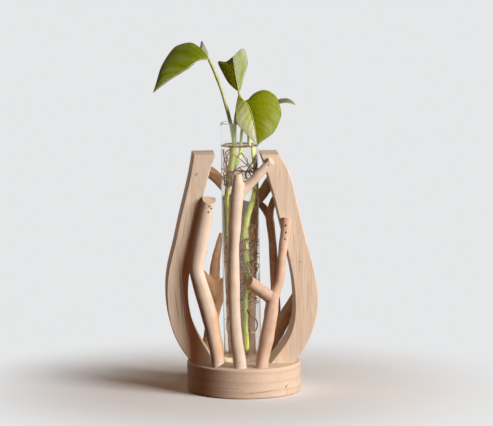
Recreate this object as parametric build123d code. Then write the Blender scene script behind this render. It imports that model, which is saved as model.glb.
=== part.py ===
from build123d import *
import os
from math import cos, pi, radians, sin

# A stand of two curved wooden slats and six twigs on a round base holds a glass tube.
# A cutting with its leaves and roots grows in the tube. Millimetres, +Z up, front is -Y.
# The origin is the centre of the base's underside.

os.makedirs("parts", exist_ok=True)

# Base disc
base_diameter = 92.0
base_height = 24.0
base_edge_round = 1.4
recess_diameter = 31.6
recess_depth = 7.0

# Glass tube, a standard 30 by 200 test tube with a flat foot, which leans a little
tube_diameter = 30.0
tube_length = 200.0
tube_wall = 1.5
tube_foot_thickness = 2.0
tube_foot_round = 3.0
tube_lean_deg = 0.91
tube_foot_x = -0.9
tube_foot_gap = 0.25

# Slats, sawn from one plank, as (X, Z) points up the inner and the outer edge
slat_depth = 32.0
slat_edge_round = 0.8
left_slat_inner = [
    (-24.5, 24), (-30.7, 35), (-38.4, 49), (-44.2, 66), (-45.9, 84),
    (-43.8, 104), (-39.6, 127), (-34.6, 152), (-30.4, 172), (-23.4, 193),
]
left_slat_outer = [
    (-42.0, 24), (-50.5, 35), (-57.6, 49), (-61.9, 66), (-63.0, 82),
    (-61.8, 98), (-57.5, 117), (-52.0, 142), (-46.7, 164), (-41.3, 193),
]
right_slat_inner = [
    (20.6, 24), (28.5, 34), (36.0, 46), (39.7, 60), (40.1, 76),
    (38.2, 94), (33.6, 116), (26.3, 146), (20.0, 170), (12.4, 193),
]
right_slat_outer = [
    (38.9, 24), (46.6, 34), (53.3, 47), (57.6, 62), (58.9, 76),
    (57.2, 91), (52.5, 111), (45.8, 136), (40.5, 159), (33.7, 182), (27.1, 193),
]

# Screws through the base into the slats
screw_length = 34.0
screw_shank_radius = 1.75
screw_head_radius = 3.8
screw_head_height = 2.2
screw_sink = 0.6
screw_slot_width = 1.0
screw_slot_depth = 0.9
screw_clearance = 0.05
screw_spacing = 18.0
left_screw_x = -36.0
right_screw_x = 34.5

# Brads through the twigs
brad_radius = 0.6
brad_head_radius = 0.8
brad_head_height = 0.5
brad_length = 16.0
brad_clearance = 0.05

# Twigs: each limb is a list of (X, Y, Z, diameter) along its middle line
foot_bevel_deg = 28.0
twigs = {
    "front_left_twig": [
        [(-22.3, -32.2, 18, 10.6), (-23.4, -31.0, 34, 10.9), (-27.0, -28.4, 53, 12.2),
         (-30.9, -26.0, 70, 12.3), (-36.7, -23.2, 90, 11.5), (-39.5, -21.2, 102, 11.4),
         (-38.1, -20.0, 113, 11.5), (-35.8, -19.0, 126, 12.2), (-33.0, -18.6, 140, 11.6),
         (-31.3, -18.6, 149, 11.2), (-29.2, -18.6, 158, 10.8)],
    ],
    "front_centre_twig": [
        [(-5.3, -37.0, 18, 10.6), (-6.2, -36.0, 32, 9.9), (-8.5, -34.0, 48, 9.6),
         (-10.3, -31.0, 78, 10.0), (-10.1, -27.0, 118, 9.8), (-7.7, -23.2, 154, 10.6),
         (-6.2, -22.1, 167, 10.4), (-6.4, -21.9, 179, 6.6)],
        [(-7.0, -22.8, 158, 8.2), (-2.3, -21.6, 165.0, 8.2), (5.0, -20.6, 171.6, 7.8),
         (13.0, -19.6, 180.2, 7.2), (20.8, -18.9, 188, 6.6)],
    ],
    "front_right_twig": [
        [(10.7, -36.8, 18, 10.0), (12.8, -35.4, 31, 10.4), (16.0, -33.2, 46, 11.0),
         (18.8, -31.0, 62, 10.7), (20.5, -29.4, 74, 10.7), (21.4, -28.6, 83, 9.8)],
        [(20.0, -29.6, 71.5, 8.0), (24.0, -28.0, 85, 8.2), (27.0, -26.4, 94, 7.4),
         (29.6, -23.2, 117, 7.1), (31.8, -20.4, 133, 7.0), (32.6, -19.2, 142.4, 7.2)],
        [(21.2, -29.2, 77, 8.6), (16.0, -29.3, 82, 10.5), (10.1, -29.0, 86.4, 10.4),
         (2.1, -28.5, 92.1, 10.2)],
    ],
    "back_right_twig": [
        [(21.4, 33.6, 18, 11.2), (23.2, 32.8, 28, 11.3), (25.4, 31.8, 39, 10.4),
         (27.2, 31.0, 53, 8.9), (27.6, 30.4, 68, 7.9), (27.0, 30.0, 85, 7.4),
         (26.1, 29.6, 102, 7.0), (24.9, 29.2, 119, 7.0), (22.4, 28.8, 140, 6.8)],
        [(23.0, 32.8, 27, 9.0), (27.6, 29.6, 39, 11.4), (33.0, 25.8, 50, 11.3),
         (39.4, 22.8, 62, 11.0), (47.0, 21.0, 75, 10.6)],
        [(23.2, 29.0, 133, 5.2), (24.0, 26.4, 145, 5.9), (27.2, 20.8, 155, 5.3),
         (31.0, 18.2, 163, 5.0)],
        [(23.4, 28.8, 134, 5.4), (18.8, 30.0, 143, 5.9), (13.8, 31.0, 148, 5.6),
         (8.4, 31.6, 153, 5.2)],
    ],
    "back_centre_twig": [
        [(1.3, 36.8, 18, 10.6), (1.6, 35.8, 30, 10.2), (1.9, 33.6, 51, 10.2),
         (1.2, 30.0, 85, 9.9), (0.8, 25.4, 118, 9.8), (0.6, 22.9, 136, 10.6),
         (0.6, 22.4, 144, 9.4)],
        [(0.4, 23.2, 133, 8.0), (5.4, 22.3, 144, 9.6), (11.4, 21.9, 151, 9.4),
         (17.2, 21.3, 158, 9.2), (22.9, 20.6, 167, 8.9), (28.0, 19.9, 176, 8.6)],
        [(0.9, 23.0, 134, 8.2), (-3.6, 22.3, 147, 9.6), (-9.4, 21.9, 157, 9.6),
         (-18.0, 21.3, 167.4, 9.5), (-26.4, 20.6, 175.1, 9.0), (-33.6, 19.9, 181.6, 8.6)],
    ],
    "back_left_twig": [
        [(-29.2, 34.4, 18, 10.0), (-28.0, 33.8, 27, 9.8), (-26.0, 32.6, 39, 9.9),
         (-22.9, 31.0, 56, 10.2), (-19.9, 29.6, 68, 10.2), (-16.6, 28.6, 78, 9.0),
         (-10.8, 27.8, 88, 8.0)],
        [(-20.9, 30.1, 64, 7.4), (-24.6, 26.8, 79, 10.4), (-31.2, 23.6, 87, 10.6),
         (-39.2, 21.4, 95, 10.2), (-49.5, 20.5, 104, 9.8)],
        [(-19.6, 29.6, 67, 6.8), (-22.0, 28.2, 85, 8.6), (-21.6, 27.3, 98, 7.7),
         (-19.6, 26.7, 110, 5.9), (-16.7, 26.0, 124, 3.4)],
    ],
}

# Brads that go through a twig into a slat, as where the head sits and the way it is driven.
# Those at the back are driven the other way round.
inwards = (0.0, 1.0, 0.0)
slat_brads_at = {
    "front_left_twig": [
        ((-29.1, -23.9, 152.6), (-0.62, 0.78, 0.0)),
        ((-27.5, -23.0, 150.8), (-0.75, 0.66, 0.0)),
        ((-29.9, -24.0, 147.9), (-0.62, 0.78, 0.0)),
    ],
    "front_centre_twig": [((17.7, -22.3, 185.0), inwards)],
    "front_right_twig": [
        ((31.7, -23.4, 136.6), inwards),
        ((31.8, -24.2, 131.1), (0.15, 0.99, 0.0)),
        ((30.9, -25.1, 125.6), (0.3, 0.95, 0.0)),
    ],
    "back_right_twig": [((44.6, 26.8, 71.0), inwards), ((29.6, 21.8, 160.0), inwards)],
    "back_centre_twig": [((25.6, 24.4, 171.8), inwards), ((-30.8, 24.5, 179.1), inwards)],
    "back_left_twig": [((-47.6, 25.5, 102.3), inwards)],
}
foot_brad_height = 5.6
foot_brad_slope_deg = 57.0

# Stems and leaf stalks, as (X, Y, Z, diameter) from the leaf down
stalks = {
    "left_leaf_stalk": [
        (-28.6, -6.2, 269.2, 2.6), (-25.0, -5.6, 261.8, 3.0), (-22.4, -5.1, 255.2, 2.9),
        (-19.5, -4.4, 247.3, 2.6), (-17.0, -3.7, 239.5, 2.6), (-14.1, -2.9, 229.5, 2.8),
        (-11.6, -2.1, 219.6, 3.0), (-9.4, -1.5, 210.0, 3.1), (-7.7, -0.8, 199.5, 3.4)],
    "folded_leaf_stalk": [
        (-4.1, 3.6, 242.2, 2.0), (-3.3, 3.6, 238.6, 2.3), (-3.7, 3.6, 232.1, 2.5),
        (-5.5, 3.4, 225.5, 2.7), (-6.7, 3.0, 218.0, 2.8), (-7.4, 2.2, 208.0, 2.9),
        (-7.4, 1.2, 200.0, 3.0)],
    "small_leaf_stalk": [
        (23.4, 13.0, 232.2, 1.8), (17.0, 12.4, 232.4, 2.0), (9.2, 9.6, 230.0, 2.1),
        (3.2, 5.4, 223.0, 2.2), (-1.2, 2.4, 212.0, 2.3), (-2.3, 1.9, 200.0, 2.4),
        (-2.8, 1.4, 194.0, 2.6), (-5.0, 0.8, 185.0, 2.8), (-7.9, 0.4, 178.5, 2.9)],
    "front_leaf_stalk": [
        (-1.2, -9.2, 235.4, 2.4), (0.9, -6.6, 229.0, 2.8), (3.0, -2.8, 218.0, 3.0),
        (4.0, -0.3, 206.0, 3.1), (4.5, 0.6, 197.0, 3.1), (5.4, 0.9, 188.0, 3.2),
        (6.2, 1.0, 180.0, 3.3)],
    "left_stem": [
        (-7.6, 0.0, 201.0, 4.6), (-7.7, 0.1, 190.0, 4.4), (-8.8, 0.3, 179.0, 4.8),
        (-10.6, 0.8, 165.0, 3.4), (-11.5, 0.8, 150.0, 3.2), (-11.5, 0.8, 124.0, 3.0)],
    "long_stem": [
        (6.2, 1.0, 182.0, 3.4), (6.2, 1.0, 168.0, 3.3), (5.4, 0.8, 158.0, 3.4),
        (3.2, 0.5, 149.0, 3.5), (1.2, 0.1, 140.0, 3.5), (0.1, 0.0, 131.0, 3.6),
        (-0.2, 0.0, 124.0, 4.6), (0.6, 0.2, 112.0, 3.5), (1.6, 0.3, 99.0, 3.5),
        (2.2, 0.3, 88.0, 4.6), (0.6, 0.2, 76.0, 3.6), (0.2, 0.0, 58.0, 3.7),
        (0.9, -0.2, 39.0, 3.6), (1.0, -0.2, 31.5, 3.5)],
}

# Leaves: (X, Y, Z) points from the stalk to the tip, along the midrib and along the margin of each
# half. A half has the way that it faces, and how far it swells that way.
leaf_thickness = 0.8
leaf_sections = 8
first_section = 0.07
last_section = 0.96
past_midrib = 0.3
midrib_foot_diameter = 1.8
midrib_tip_diameter = 0.9
leaves = {
    "left_leaf": {
        "midrib": [
            (-28.8, -6.4, 269.1), (-35.2, -8.4, 268.6), (-40.5, -9.8, 266.4),
            (-48.7, -11.2, 260.6), (-63.5, -12.3, 251.8), (-73.2, -12.0, 243.0)],
        "halves": [
            {"margin": [
                (-28.8, -6.4, 269.1), (-32.7, -3.2, 275.1), (-39.1, 2.0, 280.0),
                (-43.9, 4.0, 281.1), (-51.2, 5.0, 279.4), (-57.0, 4.0, 275.8),
                (-65.9, -3.0, 263.4), (-71.1, -10.0, 248.6), (-73.2, -12.0, 243.0)],
             "facing": (-0.34, -0.73, 0.58), "swell": 2.6},
            {"margin": [
                (-28.8, -6.4, 269.1), (-29.2, -3.0, 273.2), (-31.2, 0.5, 277.5),
                (-33.1, 4.5, 281.4), (-35.2, 10.0, 278.0), (-41.0, 14.0, 264.2),
                (-47.7, 10.0, 257.5), (-62.9, 0.0, 249.6), (-73.2, -12.0, 243.0)],
             "facing": (-0.5, 0.16, 0.85), "swell": -1.2},
        ],
    },
    "folded_leaf": {
        "midrib": [
            (-4.1, 3.6, 241.7), (-5.4, 3.0, 248.6), (-6.7, 2.6, 255.2), (-7.9, 2.4, 262.6),
            (-8.8, 2.8, 269.8)],
        "halves": [
            {"margin": [
                (-4.1, 3.6, 241.7), (-7.7, 5.2, 244.3), (-12.2, 7.6, 248.8),
                (-16.2, 10.0, 255.8), (-20.0, 12.4, 264.7), (-14.5, 9.6, 265.0),
                (-11.4, 6.6, 267.0), (-8.8, 2.8, 269.8)],
             "facing": (-0.6, -0.8, 0.0), "swell": 1.0},
            {"margin": [
                (-4.1, 3.6, 241.7), (-2.2, 4.6, 243.9), (-0.2, 7.0, 251.4), (2.2, 9.0, 258.6),
                (3.6, 10.0, 265.1), (1.4, 9.4, 273.8), (-0.7, 8.4, 275.8), (-3.2, 6.8, 274.5),
                (-8.8, 2.8, 269.8)],
             "facing": (0.6, -0.8, 0.0), "swell": 1.4},
        ],
    },
    "front_leaf": {
        "midrib": [
            (-1.2, -9.0, 235.0), (1.8, -10.6, 233.3), (4.4, -13.4, 228.0), (6.1, -15.8, 221.7),
            (7.4, -17.4, 215.4), (8.4, -18.0, 208.1), (9.7, -17.2, 200.6)],
        "halves": [
            {"margin": [
                (-1.2, -9.0, 235.0), (2.8, -7.0, 236.2), (6.2, -5.4, 239.5),
                (10.3, -4.4, 242.1), (15.7, -4.0, 243.4), (21.0, -4.6, 241.8),
                (25.8, -6.0, 237.4), (29.0, -9.6, 227.5), (28.2, -11.6, 221.1),
                (22.9, -14.6, 210.8), (14.0, -16.6, 204.2), (9.7, -17.2, 200.6)],
             "facing": (0.18, -0.91, 0.36), "swell": 3.0},
            {"margin": [
                (-1.2, -9.0, 235.0), (-3.5, -6.8, 238.5), (-4.7, -6.4, 239.7),
                (-6.0, -7.4, 235.7), (-7.3, -10.4, 229.4), (-7.7, -13.6, 224.1),
                (-6.5, -16.6, 217.8), (1.3, -18.2, 209.0), (6.2, -18.0, 204.4),
                (9.7, -17.2, 200.6)],
             "facing": (-0.1, -0.95, 0.28), "swell": 1.2},
        ],
    },
    "small_leaf": {
        "midrib": [
            (23.1, 13.0, 231.7), (28.1, 13.5, 233.6), (32.2, 13.0, 234.6), (36.2, 11.6, 234.6),
            (39.3, 9.4, 233.1), (41.7, 6.5, 230.6)],
        "halves": [
            {"margin": [
                (23.1, 13.0, 231.7), (25.0, 6.0, 230.4), (29.0, 3.6, 231.8),
                (33.9, 3.4, 232.5), (38.1, 4.6, 231.8), (41.7, 6.5, 230.6)],
             "facing": (0.0, -0.26, 0.96), "swell": 0.6},
            {"margin": [
                (23.1, 13.0, 231.7), (27.8, 21.0, 231.7), (32.9, 23.0, 232.0),
                (36.7, 19.0, 232.0), (39.6, 13.0, 231.5), (41.7, 6.5, 230.6)],
             "facing": (0.0, 0.25, 0.97), "swell": 0.6},
        ],
    },
}

# Roots: where each starts, its rise, its swing sideways and forwards, and its turns
root_diameter = 1.3
root_points = 9
root_thinning = 0.35
upper_roots = [
    ((-9.6, -1.0, 179.0), -26.0, -3.0, 1.8, 0.5),
    ((-8.0, -2.4, 176.5), -24.0, 4.2, 3.2, 0.6),
    ((-10.8, -0.6, 181.5), 13.0, -1.6, 2.6, 0.5),
    ((-6.6, -1.6, 181.0), 11.0, 4.2, 3.2, 0.5),
]
lower_roots = [
    ((-2.0, -0.9, 124.0), -34.0, -3.8, 2.4, 0.5),
    ((1.5, -1.2, 122.5), -27.0, 4.6, 3.6, 0.5),
    ((0.2, -1.4, 88.5), -38.0, -4.2, 2.0, 0.5),
    ((4.4, -0.6, 88.5), -34.0, 4.0, 2.4, 0.5),
    ((2.3, -3.2, 86.5), -45.0, 1.2, 4.2, 0.8),
]


# A tapered limb, lofted through a circle at each point, square to the way it runs
def limb(points):
    middles = [Vector(x, y, z) for x, y, z, _ in points]
    last = len(points) - 1
    rings = []
    for i, middle in enumerate(middles):
        way = (middles[min(i + 1, last)] - middles[max(i - 1, 0)]).normalized()
        ring_plane = Plane(origin=middle, x_dir=Vector(0, 1, 0).cross(way), z_dir=way)
        rings.append(ring_plane * Circle(points[i][3] / 2))
    return loft(rings)


# A solid that holds everything on one side of a level or tilted plane
def block_below(origin, tilt_deg):
    size = 120.0
    block = Box(size, size, size, align=(Align.CENTER, Align.CENTER, Align.MAX))
    return Pos(*origin) * Rot(0, -tilt_deg, 0) * block


# The outline of a slat, sawn through the plank, with its long edges eased
def slat(inner, outer):
    edges = Spline(*inner) + Line(inner[-1], outer[-1])
    edges += Spline(*reversed(outer)) + Line(outer[0], inner[0])
    board = extrude(Plane.XZ * make_face(edges), slat_depth / 2, both=True)
    faces = board.faces().filter_by(Axis.Y)
    long_edges = faces.edges().filter_by(GeomType.BSPLINE)
    top_edges = board.faces().sort_by(Axis.Z)[-1].edges()
    return fillet(list(long_edges) + list(top_edges), slat_edge_round)


# A countersunk wood screw that stands on its head, with a slot across it
def wood_screw(x, y, ease):
    head = Cone(
        screw_head_radius + ease, screw_shank_radius + ease, screw_head_height,
        align=(Align.CENTER, Align.CENTER, Align.MIN),
    )
    shank = Cylinder(
        screw_shank_radius + ease, screw_length + ease,
        align=(Align.CENTER, Align.CENTER, Align.MIN),
    )
    return Pos(x, y, screw_sink) * (head + shank)


# A brad with a small round head, driven along a way from where its head sits
def brad(head_at, way, ease):
    plane = Plane(origin=head_at, z_dir=way)
    shank = Cylinder(
        brad_radius + ease, brad_length + ease, align=(Align.CENTER, Align.CENTER, Align.MIN)
    )
    head = Cylinder(
        brad_head_radius + ease, brad_head_height, align=(Align.CENTER, Align.CENTER, Align.MIN)
    )
    return plane * (shank + head)


# The middle and the diameter of a limb at a height
def limb_at(points, height):
    for lower, upper in zip(points, points[1:]):
        if lower[2] <= height <= upper[2]:
            share = (height - lower[2]) / (upper[2] - lower[2])
            return [a + (b - a) * share for a, b in zip(lower, upper)]
    raise ValueError("no limb at that height")


# A point at a share of an edge's length
def point_along(edge, share):
    return edge.position_at(share * edge.length, position_mode=PositionMode.LENGTH)


# Half a leaf: thin curved sections from just past the midrib to the margin, lofted
def leaf_half(midrib, half):
    rib = Spline(*midrib)
    margin = Spline(*half["margin"])
    step = (last_section - first_section) / (leaf_sections - 1)
    shares = [first_section + step * i for i in range(leaf_sections)]
    inner_ends = [point_along(rib, share) for share in shares]
    outer_ends = [point_along(margin, share) for share in shares]
    widest = max((b - a).length for a, b in zip(inner_ends, outer_ends))
    facing = Vector(*half["facing"])
    sections = []
    for a, b in zip(inner_ends, outer_ends):
        across = (b - a).normalized()
        a = a - across * past_midrib
        normal = (facing - across * facing.dot(across)).normalized()
        swell = normal * (half["swell"] * (b - a).length / widest)
        skin = normal * (leaf_thickness / 2)
        middle = (a + b) * 0.5 + swell
        face_edges = ThreePointArc(a + skin, middle + skin, b + skin)
        face_edges += Line(b + skin, b - skin)
        face_edges += ThreePointArc(b - skin, middle - skin, a - skin)
        face_edges += Line(a - skin, a + skin)
        sections.append(make_face(face_edges))
    return loft(sections)


# A leaf: two halves that meet in a midrib, which stands proud as a rib
def leaf(shape):
    points = shape["midrib"]
    last = len(points) - 1
    thinning = (midrib_foot_diameter - midrib_tip_diameter) / last
    rib = limb([(*point, midrib_foot_diameter - thinning * i) for i, point in enumerate(points)])
    for half in shape["halves"]:
        rib += leaf_half(points, half)
    return rib


# A root: a thin strand that falls or rises and swings about
def root(start, rise, side_swing, forward_swing, turns):
    points = []
    for i in range(root_points):
        share = i / (root_points - 1)
        turn = 2 * pi * turns * share
        x = start[0] + side_swing * sin(turn)
        y = start[1] - forward_swing * (1 - cos(turn)) / 2 - share
        points.append((x, y, start[2] + rise * share, root_diameter * (1 - root_thinning * share)))
    return limb(points)


def group(solids):
    return Compound(children=list(solids))


# Base disc, slats and their screws
base_blank = Cylinder(
    base_diameter / 2, base_height, align=(Align.CENTER, Align.CENTER, Align.MIN)
)
base_disc = fillet(base_blank.edges(), base_edge_round)
recess = Cylinder(
    recess_diameter / 2, recess_depth, align=(Align.CENTER, Align.CENTER, Align.MAX)
)
base_disc -= Pos(tube_foot_x, 0, base_height) * recess
left_slat = slat(left_slat_inner, left_slat_outer)
right_slat = slat(right_slat_inner, right_slat_outer)

screws = []
for x in (left_screw_x, right_screw_x):
    for side in (-1, 1):
        y = side * screw_spacing / 2
        slot = Pos(x, y, screw_sink) * Box(
            2 * screw_head_radius, screw_slot_width, 2 * screw_slot_depth
        )
        screws.append(wood_screw(x, y, 0) - slot)
        hole = wood_screw(x, y, screw_clearance)
        sink = Pos(x, y, 0) * Cylinder(
            screw_head_radius + screw_clearance, screw_sink,
            align=(Align.CENTER, Align.CENTER, Align.MIN),
        )
        base_disc -= hole + sink
        left_slat -= hole
        right_slat -= hole

# Twigs, cut flat where they stand on the base and where they lie against a slat
bevel_at = (-25.2, -31.6, base_height)
slat_pair = left_slat + right_slat
foot_brads = []
slat_brads = []
nodes = {}
for name, limbs in twigs.items():
    twig = limb(limbs[0])
    for other in limbs[1:]:
        twig += limb(other)
    twig -= block_below((0, 0, base_height), 0)
    if name == "front_left_twig":
        twig -= block_below(bevel_at, foot_bevel_deg)
    twig -= slat_pair
    inward = 1 if name.startswith("front") else -1
    head_z = base_height + foot_brad_height
    x, y, _, width = limb_at(limbs[0], head_z)
    slope = radians(foot_brad_slope_deg)
    head_at = (x, y - inward * (width / 2 - brad_head_height), head_z)
    way = (0, inward * cos(slope), -sin(slope))
    foot_brads.append(brad(head_at, way, 0))
    foot_hole = brad(head_at, way, brad_clearance)
    base_disc -= foot_hole
    twig -= foot_hole
    for head_at, driven in slat_brads_at[name]:
        way = (driven[0], inward * driven[1], driven[2])
        slat_brads.append(brad(head_at, way, 0))
        hole = brad(head_at, way, brad_clearance)
        twig -= hole
        if head_at[0] < 0:
            left_slat -= hole
        else:
            right_slat -= hole
    nodes[name] = twig

nodes["base_disc"] = base_disc
nodes["left_slat"] = left_slat
nodes["right_slat"] = right_slat
nodes["slat_screws"] = group(screws)
nodes["foot_brads"] = group(foot_brads)
nodes["slat_brads"] = group(slat_brads)

# Glass tube
tube_radius = tube_diameter / 2
bore_radius = tube_radius - tube_wall
upright = (Align.CENTER, Align.CENTER, Align.MIN)
glass = Cylinder(tube_radius, tube_length, align=upright)
glass = fillet(glass.edges().sort_by(Axis.Z)[0], tube_foot_round)
bore = Pos(0, 0, tube_foot_thickness) * Cylinder(bore_radius, tube_length, align=upright)
bore = fillet(bore.edges().sort_by(Axis.Z)[0], tube_foot_round - tube_wall)
glass -= bore
rim_edges = glass.faces().sort_by(Axis.Z)[-1].edges()
glass = fillet(rim_edges, tube_wall / 2 - 0.1)
tube_foot_z = base_height - recess_depth + tube_foot_gap
nodes["glass_tube"] = Pos(tube_foot_x, 0, tube_foot_z) * Rot(0, -tube_lean_deg, 0) * glass

# The cutting: stems, leaf stalks, leaves and roots
for name, points in stalks.items():
    nodes[name] = limb(points)
for name, shape in leaves.items():
    nodes[name] = leaf(shape)
for name, strands in (("upper_roots", upper_roots), ("lower_roots", lower_roots)):
    nodes[name] = group(root(*strand) for strand in strands)

for name, solid in nodes.items():
    export_step(solid, f"parts/{name}.step")
    print(name, round(solid.volume))
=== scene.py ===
import math

import bmesh
import bpy
import numpy as np
from mathutils import Matrix, Vector, noise


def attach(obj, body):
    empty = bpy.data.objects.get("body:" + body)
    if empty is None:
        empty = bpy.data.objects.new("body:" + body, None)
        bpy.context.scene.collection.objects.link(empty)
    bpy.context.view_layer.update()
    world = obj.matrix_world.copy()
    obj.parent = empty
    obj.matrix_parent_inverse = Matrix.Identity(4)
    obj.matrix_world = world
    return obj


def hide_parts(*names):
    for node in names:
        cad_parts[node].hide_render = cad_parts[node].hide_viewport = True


# A propagation vase: two curved slats and six twigs on a round base hold a glass tube with a
# cutting in water.
# Sizes here are in millimetres and become metres when a mesh is made.

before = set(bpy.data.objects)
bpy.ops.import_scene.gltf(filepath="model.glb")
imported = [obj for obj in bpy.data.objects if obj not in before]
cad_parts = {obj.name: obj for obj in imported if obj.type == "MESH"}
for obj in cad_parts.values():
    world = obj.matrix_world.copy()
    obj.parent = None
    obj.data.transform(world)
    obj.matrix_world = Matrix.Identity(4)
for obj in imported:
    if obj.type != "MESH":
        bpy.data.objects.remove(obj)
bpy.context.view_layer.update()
mm = 0.001
print("frame loaded with", len(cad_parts), "nodes")


def linear(hexColour):
    parts = [int(hexColour[i:i + 2], 16) / 255 for i in (1, 3, 5)]
    return [p / 12.92 if p <= 0.04045 else ((p + 0.055) / 1.055) ** 2.4 for p in parts] + [1.0]


# Adds a node. A setting is an input's name or number, or one of the node's own properties,
# and "stops" fills a colour ramp. Links go from a socket to an input.
def addNode(tree, kind, settings=None, links=None):
    made = tree.nodes.new("ShaderNode" + kind)
    for name, value in (settings or {}).items():
        if isinstance(value, str) and value.startswith("#"):
            value = linear(value)
        if name == "stops":
            ramp = made.color_ramp
            while len(ramp.elements) < len(value):
                ramp.elements.new(0.5)
            for element, (place, colour) in zip(ramp.elements, value):
                element.position = place
                element.color = linear(colour)
        elif isinstance(name, str) and hasattr(made, name):
            setattr(made, name, value)
        else:
            made.inputs[name].default_value = value
    for name, socket in (links or {}).items():
        tree.links.new(socket, made.inputs[name])
    return made


def newMaterial(name, **settings):
    made = bpy.data.materials.new(name)
    made.use_nodes = True
    tree = made.node_tree
    surface = tree.nodes["Principled BSDF"]
    for socket, value in settings.items():
        surface.inputs[socket.replace("_", " ")].default_value = value
    return made, tree, surface


def newObject(name, data):
    made = bpy.data.objects.new(name, data)
    bpy.context.scene.collection.objects.link(made)
    return made


def newMesh(name, points, faces):
    mesh = bpy.data.meshes.new(name)
    mesh.from_pydata((np.asarray(points, float) * mm).tolist(), [], faces)
    return mesh


# The camera stands where the photograph was taken from
cameraView = {
    "place": (-182.9, -2784.2, 522.1),
    "turn": -3.8,    # degrees, to the right of straight ahead
    "tilt": 7.72,    # degrees, down
    "lens": 255.6,
    "sensor": 36.0,
    "reach": 50.0,   # metres to the end of its view
}
cameraData = bpy.data.cameras.new("camera")
cameraData.lens = cameraView["lens"]
cameraData.sensor_width = cameraView["sensor"]
cameraData.clip_end = cameraView["reach"]
camera = newObject("camera", cameraData)
camera.location = Vector(cameraView["place"]) * mm
camera.rotation_euler = (math.radians(90 - cameraView["tilt"]), 0, math.radians(cameraView["turn"]))
bpy.context.scene.camera = camera
bpy.context.scene.view_settings.view_transform = "Standard"

# A soft light from the right and front, low as from a window, a weak warm one from straight in
# front and a wide one behind
lights = {
    "window": {"azimuth": 51, "elevation": 19, "distance": 1.5, "width": 0.75, "height": 0.75,
               "power": 33, "colour": "#ffffff"},
    "room": {"azimuth": 5, "elevation": 22, "distance": 2.0, "width": 1.0, "height": 0.8,
             "power": 2.0, "colour": "#ff9650"},
    "behind": {"azimuth": 205, "elevation": 26, "distance": 1.6, "width": 1.6, "height": 1.2,
               "power": 7, "colour": "#f0cfae"},
}
studio = {
    "paleWall": "#e6e7e8",
    "paleFloor": "#f2f1ef",
    "floorBounce": "#6b3a1a",
    "fill": "#6b3a1a",
    "fillStrength": 0.2,
    "floorRadius": 900.0,
    "floorTurns": 96,
    "fadeFrom": 80.0,
    "fadeTo": 260.0,
    "aimHeight": 140.0,
}
for name, light in lights.items():
    lamp = bpy.data.lights.new(name, "AREA")
    lamp.shape = "RECTANGLE"
    lamp.size = light["width"]
    lamp.size_y = light["height"]
    lamp.energy = light["power"]
    lamp.color = linear(light["colour"])[:3]
    holder = newObject(name, lamp)
    azimuth, elevation = math.radians(light["azimuth"]), math.radians(light["elevation"])
    away = Vector((math.sin(azimuth) * math.cos(elevation),
                   -math.cos(azimuth) * math.cos(elevation), math.sin(elevation)))
    holder.location = away * light["distance"] + Vector((0, 0, studio["aimHeight"] * mm))
    holder.rotation_euler = away.to_track_quat("Z", "Y").to_euler()

world = bpy.data.worlds.new("studio")
bpy.context.scene.world = world
world.use_nodes = True
tree = world.node_tree
tree.nodes.clear()


# One where a ray comes from the camera, or has come by a mirror or through glass
def seenRay(tree):
    path = addNode(tree, "LightPath")
    either = addNode(tree, "Math", {"operation": "MAXIMUM"},
                     {0: path.outputs["Is Camera Ray"], 1: path.outputs["Is Glossy Ray"]})
    return addNode(tree, "Math", {"operation": "MAXIMUM"},
                   {0: either.outputs[0], 1: path.outputs["Is Transmission Ray"]}).outputs[0]


fill = addNode(tree, "Background", {"Color": studio["fill"], "Strength": studio["fillStrength"]})
wall = addNode(tree, "Background", {"Color": studio["paleWall"], "Strength": 1.0})
both = addNode(tree, "MixShader", links={0: seenRay(tree), 1: fill.outputs[0], 2: wall.outputs[0]})
addNode(tree, "OutputWorld", links={"Surface": both.outputs[0]})


# The floor is pale to look at and bounces warm light as a wooden table does. Near the object it
# takes its shadow, and further out it fades into the wall's colour.
def makeFloor():
    radius, turns = studio["floorRadius"], studio["floorTurns"]
    points, faces = [(0.0, 0.0, 0.0)], []
    for i in range(turns):
        angle = 2 * math.pi * i / turns
        points.append((radius * math.cos(angle), radius * math.sin(angle), 0.0))
        faces.append((0, i + 1, (i + 1) % turns + 1))
    floor = newObject("floor", newMesh("floor", points, faces))
    material, tree, surface = newMaterial("pale_matt_floor", Roughness=0.9)
    tree.nodes.remove(surface)
    place = addNode(tree, "TexCoord")
    reach = addNode(tree, "VectorMath", {"operation": "LENGTH"}, {0: place.outputs["Object"]})
    fade = addNode(tree, "MapRange", {
        "interpolation_type": "SMOOTHSTEP", "From Min": studio["fadeFrom"] * mm,
        "From Max": studio["fadeTo"] * mm}, {"Value": reach.outputs["Value"]})
    pale = addNode(tree, "BsdfDiffuse", {"Color": studio["paleFloor"]})
    far = addNode(tree, "Emission", {"Color": studio["paleWall"], "Strength": 1.0})
    shown = addNode(tree, "MixShader",
                    links={0: fade.outputs[0], 1: pale.outputs[0], 2: far.outputs[0]})
    bounce = addNode(tree, "BsdfDiffuse", {"Color": studio["floorBounce"]})
    both = addNode(tree, "MixShader",
                   links={0: seenRay(tree), 1: bounce.outputs[0], 2: shown.outputs[0]})
    tree.links.new(both.outputs[0], tree.nodes["Material Output"].inputs["Surface"])
    floor.data.materials.append(material)


makeFloor()
print("camera, lights and floor made")


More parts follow.
